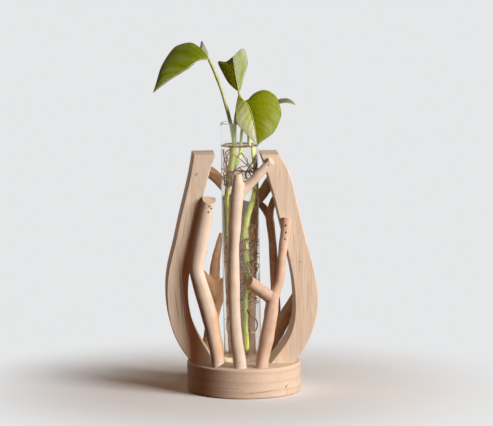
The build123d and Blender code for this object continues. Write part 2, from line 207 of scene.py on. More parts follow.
# Sawn and sanded hardwood, a pale beige with finely ruled grain. The rings lie round a pith
# that runs along the grain, so end grain, side grain and flat grain all come out of one pattern.
# Knots and dark lines are marks: a middle, a turn in degrees, half sizes and how dark.
def sandedWood(name, look):
    material, tree, surface = newMaterial(name)
    along = {"X": (look["stretch"], 1, 1), "Z": (1, 1, look["stretch"])}[look["grain"]]
    across = {"X": (0, 1, 1), "Z": (1, 1, 0)}[look["grain"]]
    place = addNode(tree, "TexCoord")
    inMillimetres = addNode(tree, "VectorMath", {"operation": "SCALE", "Scale": 1000.0},
                            {0: place.outputs["Object"]})
    drawn = addNode(tree, "VectorMath", {"operation": "MULTIPLY", 1: along},
                    {0: inMillimetres.outputs[0]})
    wander = addNode(tree, "TexNoise", {"Scale": 1 / look["wanderWidth"], "Detail": 2.0},
                     {"Vector": drawn.outputs[0]})
    flat = addNode(tree, "VectorMath", {"operation": "MULTIPLY", 1: across},
                   {0: inMillimetres.outputs[0]})
    fromPith = addNode(tree, "VectorMath", {"operation": "DISTANCE", 1: look["pith"]},
                       {0: flat.outputs[0]})
    swing = addNode(tree, "Math", {"operation": "MULTIPLY_ADD", 1: look["wander"]},
                    {0: wander.outputs["Fac"], 2: fromPith.outputs["Value"]})
    years = addNode(tree, "Math", {"operation": "DIVIDE", 1: look["ringWidth"]},
                    {0: swing.outputs[0]})
    ring = addNode(tree, "Math", {"operation": "FRACT"}, {0: years.outputs[0]})
    ringColour = addNode(tree, "ValToRGB", {"stops": look["ringColours"]}, {"Fac": ring.outputs[0]})
    fibre = addNode(tree, "TexNoise", {"Scale": 1 / look["fibreWidth"], "Detail": 4.0,
                                       "Roughness": 0.65}, {"Vector": drawn.outputs[0]})
    fibreShade = addNode(tree, "MapRange", {"From Min": 0.3, "From Max": 0.7,
                                            "To Min": 1 - look["fibreDepth"],
                                            "To Max": 1 + look["fibreDepth"]},
                         {"Value": fibre.outputs["Fac"]})
    patch = addNode(tree, "TexNoise", {"Scale": 1 / look["patchWidth"], "Detail": 3.0},
                    {"Vector": drawn.outputs[0]})
    patchShade = addNode(tree, "MapRange", {"From Min": 0.3, "From Max": 0.7,
                                            "To Min": 1 - look["patchDepth"],
                                            "To Max": 1 + look["patchDepth"]},
                         {"Value": patch.outputs["Fac"]})
    shade = addNode(tree, "Math", {"operation": "MULTIPLY"},
                    {0: fibreShade.outputs[0], 1: patchShade.outputs[0]})
    shaded = addNode(tree, "VectorMath", {"operation": "SCALE"},
                     {0: ringColour.outputs["Color"], "Scale": shade.outputs[0]})
    pores = addNode(tree, "TexNoise", {"Scale": 1 / look["poreWidth"], "Detail": 1.0},
                    {"Vector": drawn.outputs[0]})
    poreDepth = addNode(tree, "MapRange", {"From Min": 0.64, "From Max": 0.74,
                                           "To Min": 0.0, "To Max": look["poreDepth"]},
                        {"Value": pores.outputs["Fac"]})
    tinted = addNode(tree, "Mix", {"data_type": "RGBA", 7: look["poreColour"]},
                     {0: poreDepth.outputs[0], 6: shaded.outputs[0]})
    sway = look["markSway"]
    darkest = None
    for middle, turn, sizes, dark in look["marks"]:
        swayed = addNode(tree, "VectorMath", {"operation": "MULTIPLY_ADD", 1: (sway, 0, sway)},
                         {0: wander.outputs["Color"], 2: inMillimetres.outputs[0]})
        local = addNode(tree, "Mapping", {
            "vector_type": "TEXTURE",
            "Location": [m + sway / 2 * (k != 1) for k, m in enumerate(middle)],
            "Rotation": (0, math.radians(turn), 0), "Scale": sizes}, {"Vector": swayed.outputs[0]})
        reach = addNode(tree, "VectorMath", {"operation": "LENGTH"}, {0: local.outputs[0]})
        depth = addNode(tree, "MapRange", {"interpolation_type": "SMOOTHSTEP", "From Min": 0.2,
                                           "From Max": 1.0, "To Min": dark, "To Max": 0.0},
                        {"Value": reach.outputs["Value"]})
        if darkest:
            depth = addNode(tree, "Math", {"operation": "MAXIMUM"},
                            {0: darkest.outputs[0], 1: depth.outputs[0]})
        darkest = depth
    tinted = addNode(tree, "Mix", {"data_type": "RGBA", 7: look["markColour"]},
                     {0: darkest.outputs[0], 6: tinted.outputs[2]})
    tree.links.new(tinted.outputs[2], surface.inputs["Base Color"])
    surface.inputs["Specular IOR Level"].default_value = 0.25
    gloss = addNode(tree, "MapRange", {"To Min": 0.55, "To Max": 0.75},
                    {"Value": fibre.outputs["Fac"]})
    tree.links.new(gloss.outputs[0], surface.inputs["Roughness"])
    bump = addNode(tree, "Bump", {"Strength": 0.35, "Distance": 0.12 * mm},
                   {"Height": fibre.outputs["Fac"]})
    tree.links.new(bump.outputs[0], surface.inputs["Normal"])
    return material


slatLook = {
    "grain": "Z", "stretch": 0.035, "pith": (-22.0, 96.0, 0.0), "ringWidth": 4.2,
    "wander": 7.0, "wanderWidth": 26.0,
    "ringColours": [(0.0, "#dec9b1"), (0.55, "#dcc6ad"), (0.86, "#d9c0a6"), (1.0, "#ddc7ae")],
    "fibreWidth": 0.7, "fibreDepth": 0.15, "patchWidth": 12.0, "patchDepth": 0.06,
    "poreWidth": 0.8, "poreDepth": 0.5, "poreColour": "#94704f", "markColour": "#5a381f",
    "markSway": 1.6,
    "marks": [((-39.4, -16.0, 177.2), 20.0, (1.5, 30.0, 2.4), 0.5),
              ((-51.5, -16.0, 84.0), -3.0, (1.0, 30.0, 38.0), 0.6),
              ((-48.6, -16.0, 66.0), -7.0, (0.9, 30.0, 28.0), 0.6),
              ((-55.0, -16.0, 72.0), -6.0, (0.7, 30.0, 20.0), 0.5),
              ((-49.0, -16.0, 132.0), 9.0, (0.6, 30.0, 22.0), 0.35),
              ((44.0, -16.0, 106.0), 0, (1.1, 30.0, 1.8), 0.4),
              ((50.5, -16.0, 75.0), 3.0, (0.5, 30.0, 16.0), 0.3),
              ((31.0, -16.0, 128.0), -14.0, (0.5, 30.0, 18.0), 0.3)],
}
baseLook = {
    "grain": "X", "stretch": 0.16, "pith": (0.0, -30.0, -320.0), "ringWidth": 7.5,
    "wander": 6.0, "wanderWidth": 30.0,
    "ringColours": [(0.0, "#dcc2aa"), (0.62, "#dac0a7"), (0.9, "#d3b496"), (1.0, "#dbc1a8")],
    "fibreWidth": 0.8, "fibreDepth": 0.08, "patchWidth": 9.0, "patchDepth": 0.05,
    "poreWidth": 0.7, "poreDepth": 0.3, "poreColour": "#96694a", "markColour": "#6d4325",
    "markSway": 1.6,
    "marks": [((31.8, -33.3, 7.7), 35.0, (1.1, 12.0, 2.6), 0.7),
              ((32.6, -32.5, 3.6), 0, (0.4, 12.0, 4.0), 0.4),
              ((12.0, -44.0, 5.4), 84.0, (0.6, 20.0, 22.0), 0.5),
              ((-18.0, -44.0, 8.6), 92.0, (0.5, 20.0, 18.0), 0.3)],
}


# Brad and screw heads, drawn and tumbled steel gone dark
def darkSteel():
    material, tree, surface = newMaterial("drawn_steel_dulled", Metallic=1.0, Roughness=0.5)
    place = addNode(tree, "TexCoord")
    stain = addNode(tree, "TexNoise", {"Scale": 900.0, "Detail": 3.0},
                    {"Vector": place.outputs["Object"]})
    colour = addNode(tree, "ValToRGB", {"stops": [(0.35, "#4a3d33"), (0.7, "#6f6257")]},
                     {"Fac": stain.outputs["Fac"]})
    tree.links.new(colour.outputs["Color"], surface.inputs["Base Color"])
    return material


def dress(nodeNames, material):
    for name in nodeNames:
        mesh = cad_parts[name].data
        if not mesh.materials:
            mesh.materials.append(material)
        for i in range(len(mesh.materials)):
            mesh.materials[i] = material


dress(["left_slat", "right_slat"], sandedWood("sawn_hardwood_slats", slatLook))
dress(["base_disc"], sandedWood("turned_hardwood_base", baseLook))
dress(["slat_brads", "foot_brads", "slat_screws"], darkSteel())
print("slats, base and fasteners dressed")


def lengthsAlong(line):
    steps = np.linalg.norm(np.diff(line[:, :3], axis=0), axis=1)
    return np.concatenate([[0], np.cumsum(steps)])


# Points along a smooth line through (x, y, z, diameter) points, evenly spaced
def smoothLine(points, step):
    given = np.array(points, float)
    padded = np.vstack([2 * given[0] - given[1], given, 2 * given[-1] - given[-2]])
    fine = []
    for i in range(1, len(padded) - 2):
        before, start, end, after = padded[i - 1:i + 3]
        t = np.linspace(0, 1, 30, endpoint=False)[:, None]
        fine.append(0.5 * (2 * start + (end - before) * t
                           + (2 * before - 5 * start + 4 * end - after) * t ** 2
                           + (3 * start - before - 3 * end + after) * t ** 3))
    fine.append(padded[-2][None, :])
    fine = np.vstack(fine)
    lengths = lengthsAlong(fine)
    count = max(3, int(round(lengths[-1] / step)) + 1)
    wanted = np.linspace(0, lengths[-1], count)
    return np.stack([np.interp(wanted, lengths, fine[:, k]) for k in range(4)], axis=1)


# The way a line runs at each point, and two sides square to it that don't twist
def sidesAlong(line):
    way = np.gradient(line[:, :3], axis=0)
    way /= np.linalg.norm(way, axis=1)[:, None]
    side = np.cross(way[0], (0.3, 1.0, 0.1))
    side /= np.linalg.norm(side)
    firsts = []
    for w in way:
        side = side - w * side.dot(w)
        side /= np.linalg.norm(side)
        firsts.append(side)
    firsts = np.array(firsts)
    return way, firsts, np.cross(way, firsts)


# The faces between rings of points that follow each other
def ringFaces(count, turns):
    faces = []
    for i in range(count - 1):
        for j in range(turns):
            k = (j + 1) % turns
            faces.append((i * turns + j, i * turns + k, (i + 1) * turns + k, (i + 1) * turns + j))
    return faces


# A closed tube round a line. shape(share along, angle) scales the radius.
def tubeMesh(line, turns, shape=None):
    way, first, second = sidesAlong(line)
    angle = np.linspace(0, 2 * np.pi, turns, endpoint=False)
    along = np.linspace(0, 1, len(line))
    scale = np.ones((len(line), turns)) if shape is None else shape(along[:, None], angle[None, :])
    radius = line[:, 3, None] / 2 * scale
    rings = (line[:, None, :3] + first[:, None, :] * (np.cos(angle) * radius)[..., None]
             + second[:, None, :] * (np.sin(angle) * radius)[..., None])
    points = np.vstack([rings.reshape(-1, 3), line[:1, :3], line[-1:, :3]])
    faces = ringFaces(len(line), turns)
    last = (len(line) - 1) * turns
    foot, top = len(points) - 2, len(points) - 1
    for j in range(turns):
        k = (j + 1) % turns
        faces.append((k, j, foot))
        faces.append((last + j, last + k, top))
    return points, faces


# Adds a mesh to the points and faces of another, and gives how many points it has
def joinMesh(points, faces, newPoints, newFaces):
    faces += [tuple(index + len(points) for index in face) for face in newFaces]
    points += newPoints.tolist()
    return len(newPoints)


def pointsOf(mesh):
    places = np.empty(len(mesh.vertices) * 3)
    mesh.vertices.foreach_get("co", places)
    return places.reshape(-1, 3) / mm


def gapsTo(places, middle, scale=1.0):
    return np.linalg.norm((places - np.array(middle)) / scale, axis=1)


def addField(mesh, name, values):
    values = np.asarray(values, np.float32)
    kind = "FLOAT_VECTOR" if values.ndim == 2 else "FLOAT"
    field = mesh.attributes.new(name, kind, "POINT")
    field.data.foreach_set("vector" if values.ndim == 2 else "value", values.ravel())


# An object from points in millimetres, which rides on a body and may replace a CAD node
def addPiece(name, points, faces, body, material, replaced=()):
    mesh = newMesh(name, points, faces)
    mesh.validate()
    mesh.shade_smooth()
    mesh.materials.append(material)
    piece = newObject(name, mesh)
    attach(piece, body)
    if replaced:
        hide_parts(*replaced)


# Twigs: every limb is a list of (x, y, z, diameter), as the frame has them. Its end is sawn
# "square", or so that the sawn face looks the way given, or lies "inside" another limb. Knots are
# (place, width, height), brads are the places of their heads, and stains the places where the wood
# is peach coloured. The bevel is a place on the base and a slope in degrees.
twigs = {
    "front_left_twig": {
        "limbs": [
            [(-22.3, -32.2, 18, 10.6), (-23.4, -31.0, 34, 10.9), (-27.0, -28.4, 53, 12.2),
             (-30.9, -26.0, 70, 12.3), (-36.7, -23.2, 90, 11.5), (-39.5, -21.2, 102, 11.4),
             (-38.1, -20.0, 113, 11.5), (-35.8, -19.0, 126, 12.2), (-33.0, -18.6, 140, 11.6),
             (-31.3, -18.6, 149, 11.2), (-29.2, -18.6, 158, 10.8)],
        ],
        "cuts": [(0.14, -0.5, 0.85)],
        "bevel": ((-25.2, -31.6), 28.0),
        "knots": [((-30.4, -21.5, 115.5), 2.2, 1.1)],
        "brads": [(-29.1, -23.9, 152.6), (-27.5, -23.0, 150.8), (-29.9, -24.0, 147.9)],
        "stains": [(-24.0, -32.5, 62), (-22.3, -34.0, 54), (-21.0, -35.5, 46), (-19.8, -36.5, 38)],
        "tone": "front",
    },
    "front_centre_twig": {
        "limbs": [
            [(-5.3, -37.0, 18, 10.6), (-6.2, -36.0, 32, 9.9), (-8.5, -34.0, 48, 9.6),
             (-10.3, -31.0, 78, 10.0), (-10.1, -27.0, 118, 9.8), (-7.7, -23.2, 154, 10.6),
             (-6.2, -22.1, 167, 10.4), (-6.4, -21.9, 179, 6.6)],
            [(-7.0, -22.8, 158, 8.2), (-2.3, -21.6, 165.0, 8.2), (5.0, -20.6, 171.6, 7.8),
             (13.0, -19.6, 180.2, 7.2), (20.8, -18.9, 188, 6.6)],
        ],
        "cuts": [(-0.1, -0.3, 0.95), (0.72, -0.3, 0.62)],
        "knots": [],
        "brads": [(17.7, -22.3, 185.0)],
        "stains": [],
        "tone": "front",
    },
    "front_right_twig": {
        "limbs": [
            [(10.7, -36.8, 18, 10.0), (12.8, -35.4, 31, 10.4), (16.0, -33.2, 46, 11.0),
             (18.8, -31.0, 62, 10.7), (20.5, -29.4, 74, 10.7), (21.4, -28.6, 83, 9.8)],
            [(20.0, -29.6, 71.5, 8.0), (24.0, -28.0, 85, 8.2), (27.0, -26.4, 94, 7.4),
             (29.6, -23.2, 117, 7.1), (31.8, -20.4, 133, 7.0), (32.6, -19.2, 142.4, 7.2)],
            [(21.2, -29.2, 77, 8.6), (16.0, -29.3, 82, 10.5), (10.1, -29.0, 86.4, 10.4),
             (2.1, -28.5, 92.1, 10.2)],
        ],
        "cuts": ["inside", "square", (-0.78, -0.3, 0.5)],
        "knots": [((29.0, -27.5, 118), 2.0, 0.2)],
        "brads": [(31.7, -23.4, 136.6), (31.8, -24.2, 131.1), (30.9, -25.1, 125.6)],
        "stains": [],
        "tone": "pink",
    },
    "back_right_twig": {
        "limbs": [
            [(21.4, 33.6, 18, 11.2), (23.2, 32.8, 28, 11.3), (25.4, 31.8, 39, 10.4),
             (27.2, 31.0, 53, 8.9), (27.6, 30.4, 68, 7.9), (27.0, 30.0, 85, 7.4),
             (26.1, 29.6, 102, 7.0), (24.9, 29.2, 119, 7.0), (22.4, 28.8, 140, 6.8)],
            [(23.0, 32.8, 27, 9.0), (27.6, 29.6, 39, 11.4), (33.0, 25.8, 50, 11.3),
             (39.4, 22.8, 62, 11.0), (47.0, 21.0, 75, 10.6)],
            [(23.2, 29.0, 133, 5.2), (24.0, 26.4, 145, 5.9), (27.2, 20.8, 155, 5.3),
             (31.0, 18.2, 163, 5.0)],
            [(23.4, 28.8, 134, 5.4), (18.8, 30.0, 143, 5.9), (13.8, 31.0, 148, 5.6),
             (8.4, 31.6, 153, 5.2)],
        ],
        "cuts": ["inside", "square", "square", "square"],
        "knots": [((24.0, 27.0, 96), 2.0, 0.4)],
        "brads": [(44.6, 26.8, 71.0), (29.6, 21.8, 160.0)],
        "stains": [],
        "tone": "back",
    },
    "back_centre_twig": {
        "limbs": [
            [(1.3, 36.8, 18, 10.6), (1.6, 35.8, 30, 10.2), (1.9, 33.6, 51, 10.2),
             (1.2, 30.0, 85, 9.9), (0.8, 25.4, 118, 9.8), (0.6, 22.9, 136, 10.6),
             (0.6, 22.4, 144, 9.4)],
            [(0.4, 23.2, 133, 8.0), (5.4, 22.3, 144, 9.6), (11.4, 21.9, 151, 9.4),
             (17.2, 21.3, 158, 9.2), (22.9, 20.6, 167, 8.9), (28.0, 19.9, 176, 8.6)],
            [(0.9, 23.0, 134, 8.2), (-3.6, 22.3, 147, 9.6), (-9.4, 21.9, 157, 9.6),
             (-18.0, 21.3, 167.4, 9.5), (-26.4, 20.6, 175.1, 9.0), (-33.6, 19.9, 181.6, 8.6)],
        ],
        "cuts": ["inside", "square", "square"],
        "knots": [((2.0, 38.0, 76), 2.5, 0.5)],
        "brads": [(25.6, 24.4, 171.8), (-30.8, 24.5, 179.1)],
        "stains": [],
        "tone": "back",
    },
    "back_left_twig": {
        "limbs": [
            [(-29.2, 34.4, 18, 10.0), (-28.0, 33.8, 27, 9.8), (-26.0, 32.6, 39, 9.9),
             (-22.9, 31.0, 56, 10.2), (-19.9, 29.6, 68, 10.2), (-16.6, 28.6, 78, 9.0),
             (-10.8, 27.8, 88, 8.0)],
            [(-20.9, 30.1, 64, 7.4), (-24.6, 26.8, 79, 10.4), (-31.2, 23.6, 87, 10.6),
             (-39.2, 21.4, 95, 10.2), (-49.5, 20.5, 104, 9.8)],
            [(-19.6, 29.6, 67, 6.8), (-22.0, 28.2, 85, 8.6), (-21.6, 27.3, 98, 7.7),
             (-19.6, 26.7, 110, 5.9), (-16.7, 26.0, 124, 3.4)],
        ],
        "cuts": ["square", "square", "square"],
        "knots": [((-27.0, 25.5, 106), 2.2, 1.2)],
        "brads": [(-47.6, 25.5, 102.3)],
        "stains": [],
        "tone": "back",
    },
}
twigMaking = {
    "step": 1.4,
    "turns": 26,
    "waves": [(0.035, 2, 5), (0.02, 3, -8), (0.025, 0, 19), (0.018, 0, 37)],
    "voxel": 0.6,
    "relaxed": 7,         # rounds of smoothing after the limbs are made one
    "extra": 6.0,         # how far a limb is drawn past its sawn end
    "lump": 0.35,         # height of the slow swellings
    "lumpWidth": 16.0,
    "ridge": 0.10,        # height of the fine ridges along the grain
    "ridgeWidth": 2.2,
    "ridgeStretch": 14,
    "blend": 1.1,         # how softly the grain of one limb goes over into the next
    "eased": 0.35,        # the sanded edge round a sawn face
    "sharpAngle": 38,
    "stainWidth": 4.5,
    "stainStretch": 1.6,
    "stainDepth": 0.75,
    "dentWidth": 0.8,     # the dent that each brad's head sits in
    "dentDepth": 0.6,
    "slatFace": 16.03,    # where the slats' faces stand
    "baseTop": 24.02,
}


# Distance of points from a limb's skin, and their place along and across it
def placeOnLimb(points, line):
    way, first, second = sidesAlong(line)
    step = np.linalg.norm(np.diff(line[:, :3], axis=0), axis=1).mean()
    nearest = np.empty(len(points), int)
    atOnce = 4000    # so that the table of gaps stays small
    for start in range(0, len(points), atOnce):
        some = points[start:start + atOnce]
        gaps = ((some[:, None, :] - line[None, :, :3]) ** 2).sum(2)
        nearest[start:start + atOnce] = gaps.argmin(1)
    offset = points - line[nearest, :3]
    along = nearest * step + (offset * way[nearest]).sum(1)
    across = np.stack([(offset * first[nearest]).sum(1), (offset * second[nearest]).sum(1)], axis=1)
    reach = np.linalg.norm(across, axis=1)
    beyond = np.abs((offset * way[nearest]).sum(1))
    return np.hypot(reach, beyond) - line[nearest, 3] / 2, along, across


# Saws a mesh with a plane, near a point only if reach is given, and closes the cut with a face
def sawOff(bm, at, facing, reach=None):
    at, facing = Vector(at), Vector(facing).normalized()
    if reach is None:
        chosen = bm.faces[:]
    else:
        chosen = [f for f in bm.faces if (f.calc_center_median() - at).length < reach]
    # a dictionary keeps their order, so that every run cuts alike
    corners = [v for f in chosen for v in f.verts] + [e for f in chosen for e in f.edges]
    geometry = list(dict.fromkeys(corners)) + chosen
    bmesh.ops.bisect_plane(bm, geom=geometry, plane_co=at, plane_no=facing, clear_outer=True,
                           dist=0.0001 * mm)
    edges = [e for e in bm.edges if e.is_boundary]
    return bmesh.ops.holes_fill(bm, edges=edges, sides=0)["faces"]


# Eases the edge of a sawn face and gives the face a middle, for its rings
def easeCut(bm, faces, rim):
    eased = twigMaking["eased"] * mm
    for face in faces:
        if not face.is_valid or len(face.verts) < 8:
            continue
        face.normal_update()
        facing = face.normal.copy()
        edge = list(face.verts)
        bmesh.ops.inset_region(bm, faces=[face], thickness=eased, use_even_offset=True)
        for vertex in edge:
            vertex.co -= facing * eased * 0.8
        middle = bmesh.ops.poke(bm, faces=[face])["verts"][0]
        middle[rim] = 1.0


def makeTwig(name, twig, materials):
    lines = []
    points, faces = [], []
    rng = np.random.default_rng(sum(map(ord, name)))
    cuts = []
    for limb, cut in zip(twig["limbs"], twig["cuts"]):
        ends = np.array(limb, float)
        way = ends[-1, :3] - ends[-2, :3]
        way /= np.linalg.norm(way)
        if isinstance(cut, str) and cut == "inside":
            line = smoothLine(limb, twigMaking["step"])
        else:
            cuts.append((ends[-1, :3], way if cut == "square" else np.array(cut), ends[-1, 3]))
            further = np.append(ends[-1, :3] + way * twigMaking["extra"], ends[-1, 3])
            line = smoothLine(list(limb) + [further], twigMaking["step"])
        lines.append(line)
        phases = rng.uniform(0, 2 * np.pi, 6)

        def shape(along, angle):
            total = 1
            for (height, around, down), phase in zip(twigMaking["waves"], phases):
                total = total + height * np.sin(around * angle + phase + down * along)
            return total

        joinMesh(points, faces, *tubeMesh(line, twigMaking["turns"], shape))
    rough = newObject(name + "_rough", newMesh(name + "_rough", points, faces))
    remesh = rough.modifiers.new("voxels", "REMESH")
    remesh.mode = "VOXEL"
    remesh.voxel_size = twigMaking["voxel"] * mm
    relax = rough.modifiers.new("relax", "SMOOTH")
    relax.factor = 0.5
    relax.iterations = twigMaking["relaxed"]
    bpy.context.view_layer.update()
    done = rough.evaluated_get(bpy.context.evaluated_depsgraph_get())
    grown = bpy.data.meshes.new_from_object(done)
    bpy.data.objects.remove(rough)
    grown.name = name

    places = pointsOf(grown)
    normals = np.empty(len(grown.vertices) * 3)
    grown.vertex_normals.foreach_get("vector", normals)
    normals = normals.reshape(-1, 3)
    grain = twigGrain(places, lines)
    rise = np.zeros(len(places))
    lump, ridge = twigMaking["lumpWidth"], twigMaking["ridgeWidth"]
    for i, (place, fibre) in enumerate(zip(places, grain)):
        drawn = (fibre[0] / ridge, fibre[1] / ridge, fibre[2] / ridge / twigMaking["ridgeStretch"])
        rise[i] = (twigMaking["lump"] * noise.noise(Vector(place / lump))
                   + twigMaking["ridge"] * noise.noise(Vector(drawn)))
    for middle, width, height in twig["knots"]:
        rise += height * np.exp(-(gapsTo(places, middle) / width) ** 2)
    for head in twig["brads"]:
        gap = gapsTo(places, head) / twigMaking["dentWidth"]
        rise -= twigMaking["dentDepth"] * np.exp(-gap ** 4)
    places += normals * rise[:, None]
    grown.vertices.foreach_set("co", (places * mm).ravel())

    bm = bmesh.new()
    bm.from_mesh(grown)
    rim = bm.verts.layers.float.new("cutMiddle")
    sawn = []
    for at, facing, width in cuts:
        sawn += sawOff(bm, at * mm, facing, math.hypot(width * 0.62, twigMaking["extra"] + 1) * mm)
    inward = 1 if name.startswith("front") else -1
    sawn += sawOff(bm, (0, -inward * twigMaking["slatFace"] * mm, 0), (0, inward, 0))
    sawn += sawOff(bm, (0, 0, twigMaking["baseTop"] * mm), (0, 0, -1))
    if "bevel" in twig:
        (x, y), slope = twig["bevel"]
        slope = math.radians(slope)
        sawn += sawOff(bm, (x * mm, y * mm, twigMaking["baseTop"] * mm),
                       (math.sin(slope), 0, -math.cos(slope)))
    easeCut(bm, sawn, rim)
    bmesh.ops.recalc_face_normals(bm, faces=bm.faces)
    bm.to_mesh(grown)
    bm.free()

    places = pointsOf(grown)
    addField(grown, "grain", twigGrain(places, lines))
    knotField = np.zeros(len(places))
    for middle, width, height in twig["knots"]:
        gap = gapsTo(places, middle) / width / 0.7
        knotField += min(1.0, 0.4 + height) * np.exp(-gap ** 2)
    addField(grown, "knot", knotField)
    stainField = np.zeros(len(places))
    for middle in twig["stains"]:
        gap = gapsTo(places, middle, (1.0, 1.0, twigMaking["stainStretch"]))
        depth = twigMaking["stainDepth"] * np.exp(-(gap / twigMaking["stainWidth"]) ** 2)
        stainField = np.maximum(stainField, depth)
    addField(grown, "stain", stainField)
    grown.shade_smooth()
    grown.set_sharp_from_angle(angle=math.radians(twigMaking["sharpAngle"]))
    grown.materials.clear()
    grown.materials.append(materials[twig["tone"]])
    piece = newObject("grown_" + name, grown)
    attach(piece, "stand")
    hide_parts(name)
    return piece


# Where each point lies across and along the grain, blended where limbs meet
def twigGrain(places, lines):
    total = np.zeros((len(places), 3))
    weights = np.zeros(len(places))
    for line in lines:
        gap, along, across = placeOnLimb(places, line)
        weight = np.exp(-np.clip(gap + 1.0, 0, None) / twigMaking["blend"]) + 1e-9
        total += weight[:, None] * np.column_stack([across, along])
        weights += weight
    return total / weights[:, None]


# Peeled and sanded twigs, smooth and pale with faint streaks along them, brown rings where sawn
def peeledTwig(name, look):
    material, tree, surface = newMaterial(name, Roughness=0.6)
    surface.inputs["Specular IOR Level"].default_value = 0.3
    grain = addNode(tree, "Attribute", {"attribute_name": "grain"})
    knot = addNode(tree, "Attribute", {"attribute_name": "knot"})
    middle = addNode(tree, "Attribute", {"attribute_name": "cutMiddle"})
    drawn = addNode(tree, "VectorMath", {"operation": "MULTIPLY", 1: (1, 1, look["stretch"])},
                    {0: grain.outputs["Vector"]})
    streak = addNode(tree, "TexNoise", {"Scale": 1 / look["streakWidth"], "Detail": 5.0,
                                        "Roughness": 0.6}, {"Vector": drawn.outputs[0]})
    patch = addNode(tree, "TexNoise", {"Scale": 1 / look["patchWidth"], "Detail": 2.0},
                    {"Vector": grain.outputs["Vector"]})
    mixed = addNode(tree, "Math", {"operation": "MULTIPLY_ADD", 1: look["streakShare"]},
                    {0: streak.outputs["Fac"], 2: patch.outputs["Fac"]})
    colour = addNode(tree, "ValToRGB", {"stops": look["colours"]}, {"Fac": mixed.outputs[0]})
    speck = addNode(tree, "TexNoise", {"Scale": 1 / look["speckWidth"], "Detail": 1.0},
                    {"Vector": drawn.outputs[0]})
    speckDepth = addNode(tree, "MapRange", {"From Min": 0.70, "From Max": 0.78, "To Min": 0.0,
                                            "To Max": 0.45}, {"Value": speck.outputs["Fac"]})
    knotDepth = addNode(tree, "Math", {"operation": "MAXIMUM"},
                        {0: speckDepth.outputs[0], 1: knot.outputs["Fac"]})
    stain = addNode(tree, "Attribute", {"attribute_name": "stain"})
    stained = addNode(tree, "Mix", {"data_type": "RGBA", 7: look["stainColour"]},
                      {0: stain.outputs["Fac"], 6: colour.outputs["Color"]})
    spotted = addNode(tree, "Mix", {"data_type": "RGBA", 7: look["knotColour"]},
                      {0: knotDepth.outputs[0], 6: stained.outputs[2]})
    rings = addNode(tree, "Math", {"operation": "MULTIPLY", 1: look["rings"]},
                    {0: middle.outputs["Fac"]})
    ring = addNode(tree, "Math", {"operation": "FRACT"}, {0: rings.outputs[0]})
    sawn = addNode(tree, "ValToRGB", {"stops": look["sawnColours"]}, {"Fac": ring.outputs[0]})
    onCut = addNode(tree, "Math", {"operation": "GREATER_THAN", 1: 0.001},
                    {0: middle.outputs["Fac"]})
    final = addNode(tree, "Mix", {"data_type": "RGBA"},
                    {0: onCut.outputs[0], 6: spotted.outputs[2], 7: sawn.outputs["Color"]})
    tree.links.new(final.outputs[2], surface.inputs["Base Color"])
    bump = addNode(tree, "Bump", {"Strength": 0.4, "Distance": 0.15 * mm},
                   {"Height": streak.outputs["Fac"]})
    tree.links.new(bump.outputs[0], surface.inputs["Normal"])
    return material


twigLook = {
    "stretch": 0.05, "streakWidth": 1.8, "streakShare": 0.55, "patchWidth": 14.0,
    "speckWidth": 0.9, "rings": 4.0,
    "colours": [(0.45, "#cdb196"), (0.7, "#dac3ab"), (1.0, "#e3cfba")],
    "sawnColours": [(0.0, "#cdb295"), (0.6, "#d8c1a6"), (1.0, "#b99a7a")],
    "knotColour": "#a17a5c", "stainColour": "#d89f6b",
}
pinkTwigLook = dict(twigLook, colours=[(0.45, "#c59c80"), (0.7, "#d1ad92"), (1.0, "#ddc0a7")],
                    sawnColours=[(0.0, "#a68464"), (0.6, "#b89674"), (1.0, "#8f6c4e")])
# The back twigs are darker wood and in part painted shade, for where they stand behind the slats
backTwigLookWithPaintedShade = dict(twigLook, colours=[(0.45, "#a67a57"), (0.7, "#b98f6c"), (1.0, "#c8a483")])
twigMaterials = {
    "front": peeledTwig("peeled_sanded_twig", twigLook),
    "pink": peeledTwig("peeled_rosy_twig", pinkTwigLook),
    "back": peeledTwig("peeled_darker_twig_with_painted_shade", backTwigLookWithPaintedShade),
}
for name, twig in twigs.items():
    made = makeTwig(name, twig, twigMaterials)
    print("twig made:", name, len(made.data.vertices), "points")


# The glass tube, drawn borosilicate with a fire-polished rim, and the water in it
tube = {
    "radius": 15.0, "wall": 1.5, "length": 200.0, "footThickness": 2.0, "footRound": 3.0,
    "footX": -0.9, "footZ": 17.25, "lean": 0.91, "turns": 160,
    "waterHeight": 180.8, "meniscus": 1.5, "meniscusWidth": 3.2, "overlap": 0.03,
    # rimFade is how far the painted reflection band at the water's rim reaches before it fades
    "rimHeight": 199.0, "rimFade": (0.5, 1.2),
    "middle": (0.5, 6.0),    # the rings that the flat middles are made of
}
tubePlace = (Matrix.Translation((tube["footX"], 0, tube["footZ"]))
             @ Matrix.Rotation(math.radians(-tube["lean"]), 4, "Y"))


def quarterArc(middle, radius, start, end, count):
    angles = np.radians(np.linspace(start, end, count))
    return [(middle[0] + radius * math.cos(a), middle[1] + radius * math.sin(a)) for a in angles]


# Turns an outline of (radius, height) points round the tube's axis
def turned(outline):
    turns = tube["turns"]
    points = []
    for radius, height in outline:
        for i in range(turns):
            angle = 2 * math.pi * i / turns
            points.append((radius * math.cos(angle), radius * math.sin(angle), height))
    faces = ringFaces(len(outline), turns)
    faces.append(tuple(reversed(range(turns))))
    faces.append(tuple(range((len(outline) - 1) * turns, len(outline) * turns)))
    points = [tuple(tubePlace @ Vector(p)) for p in points]
    return points, faces


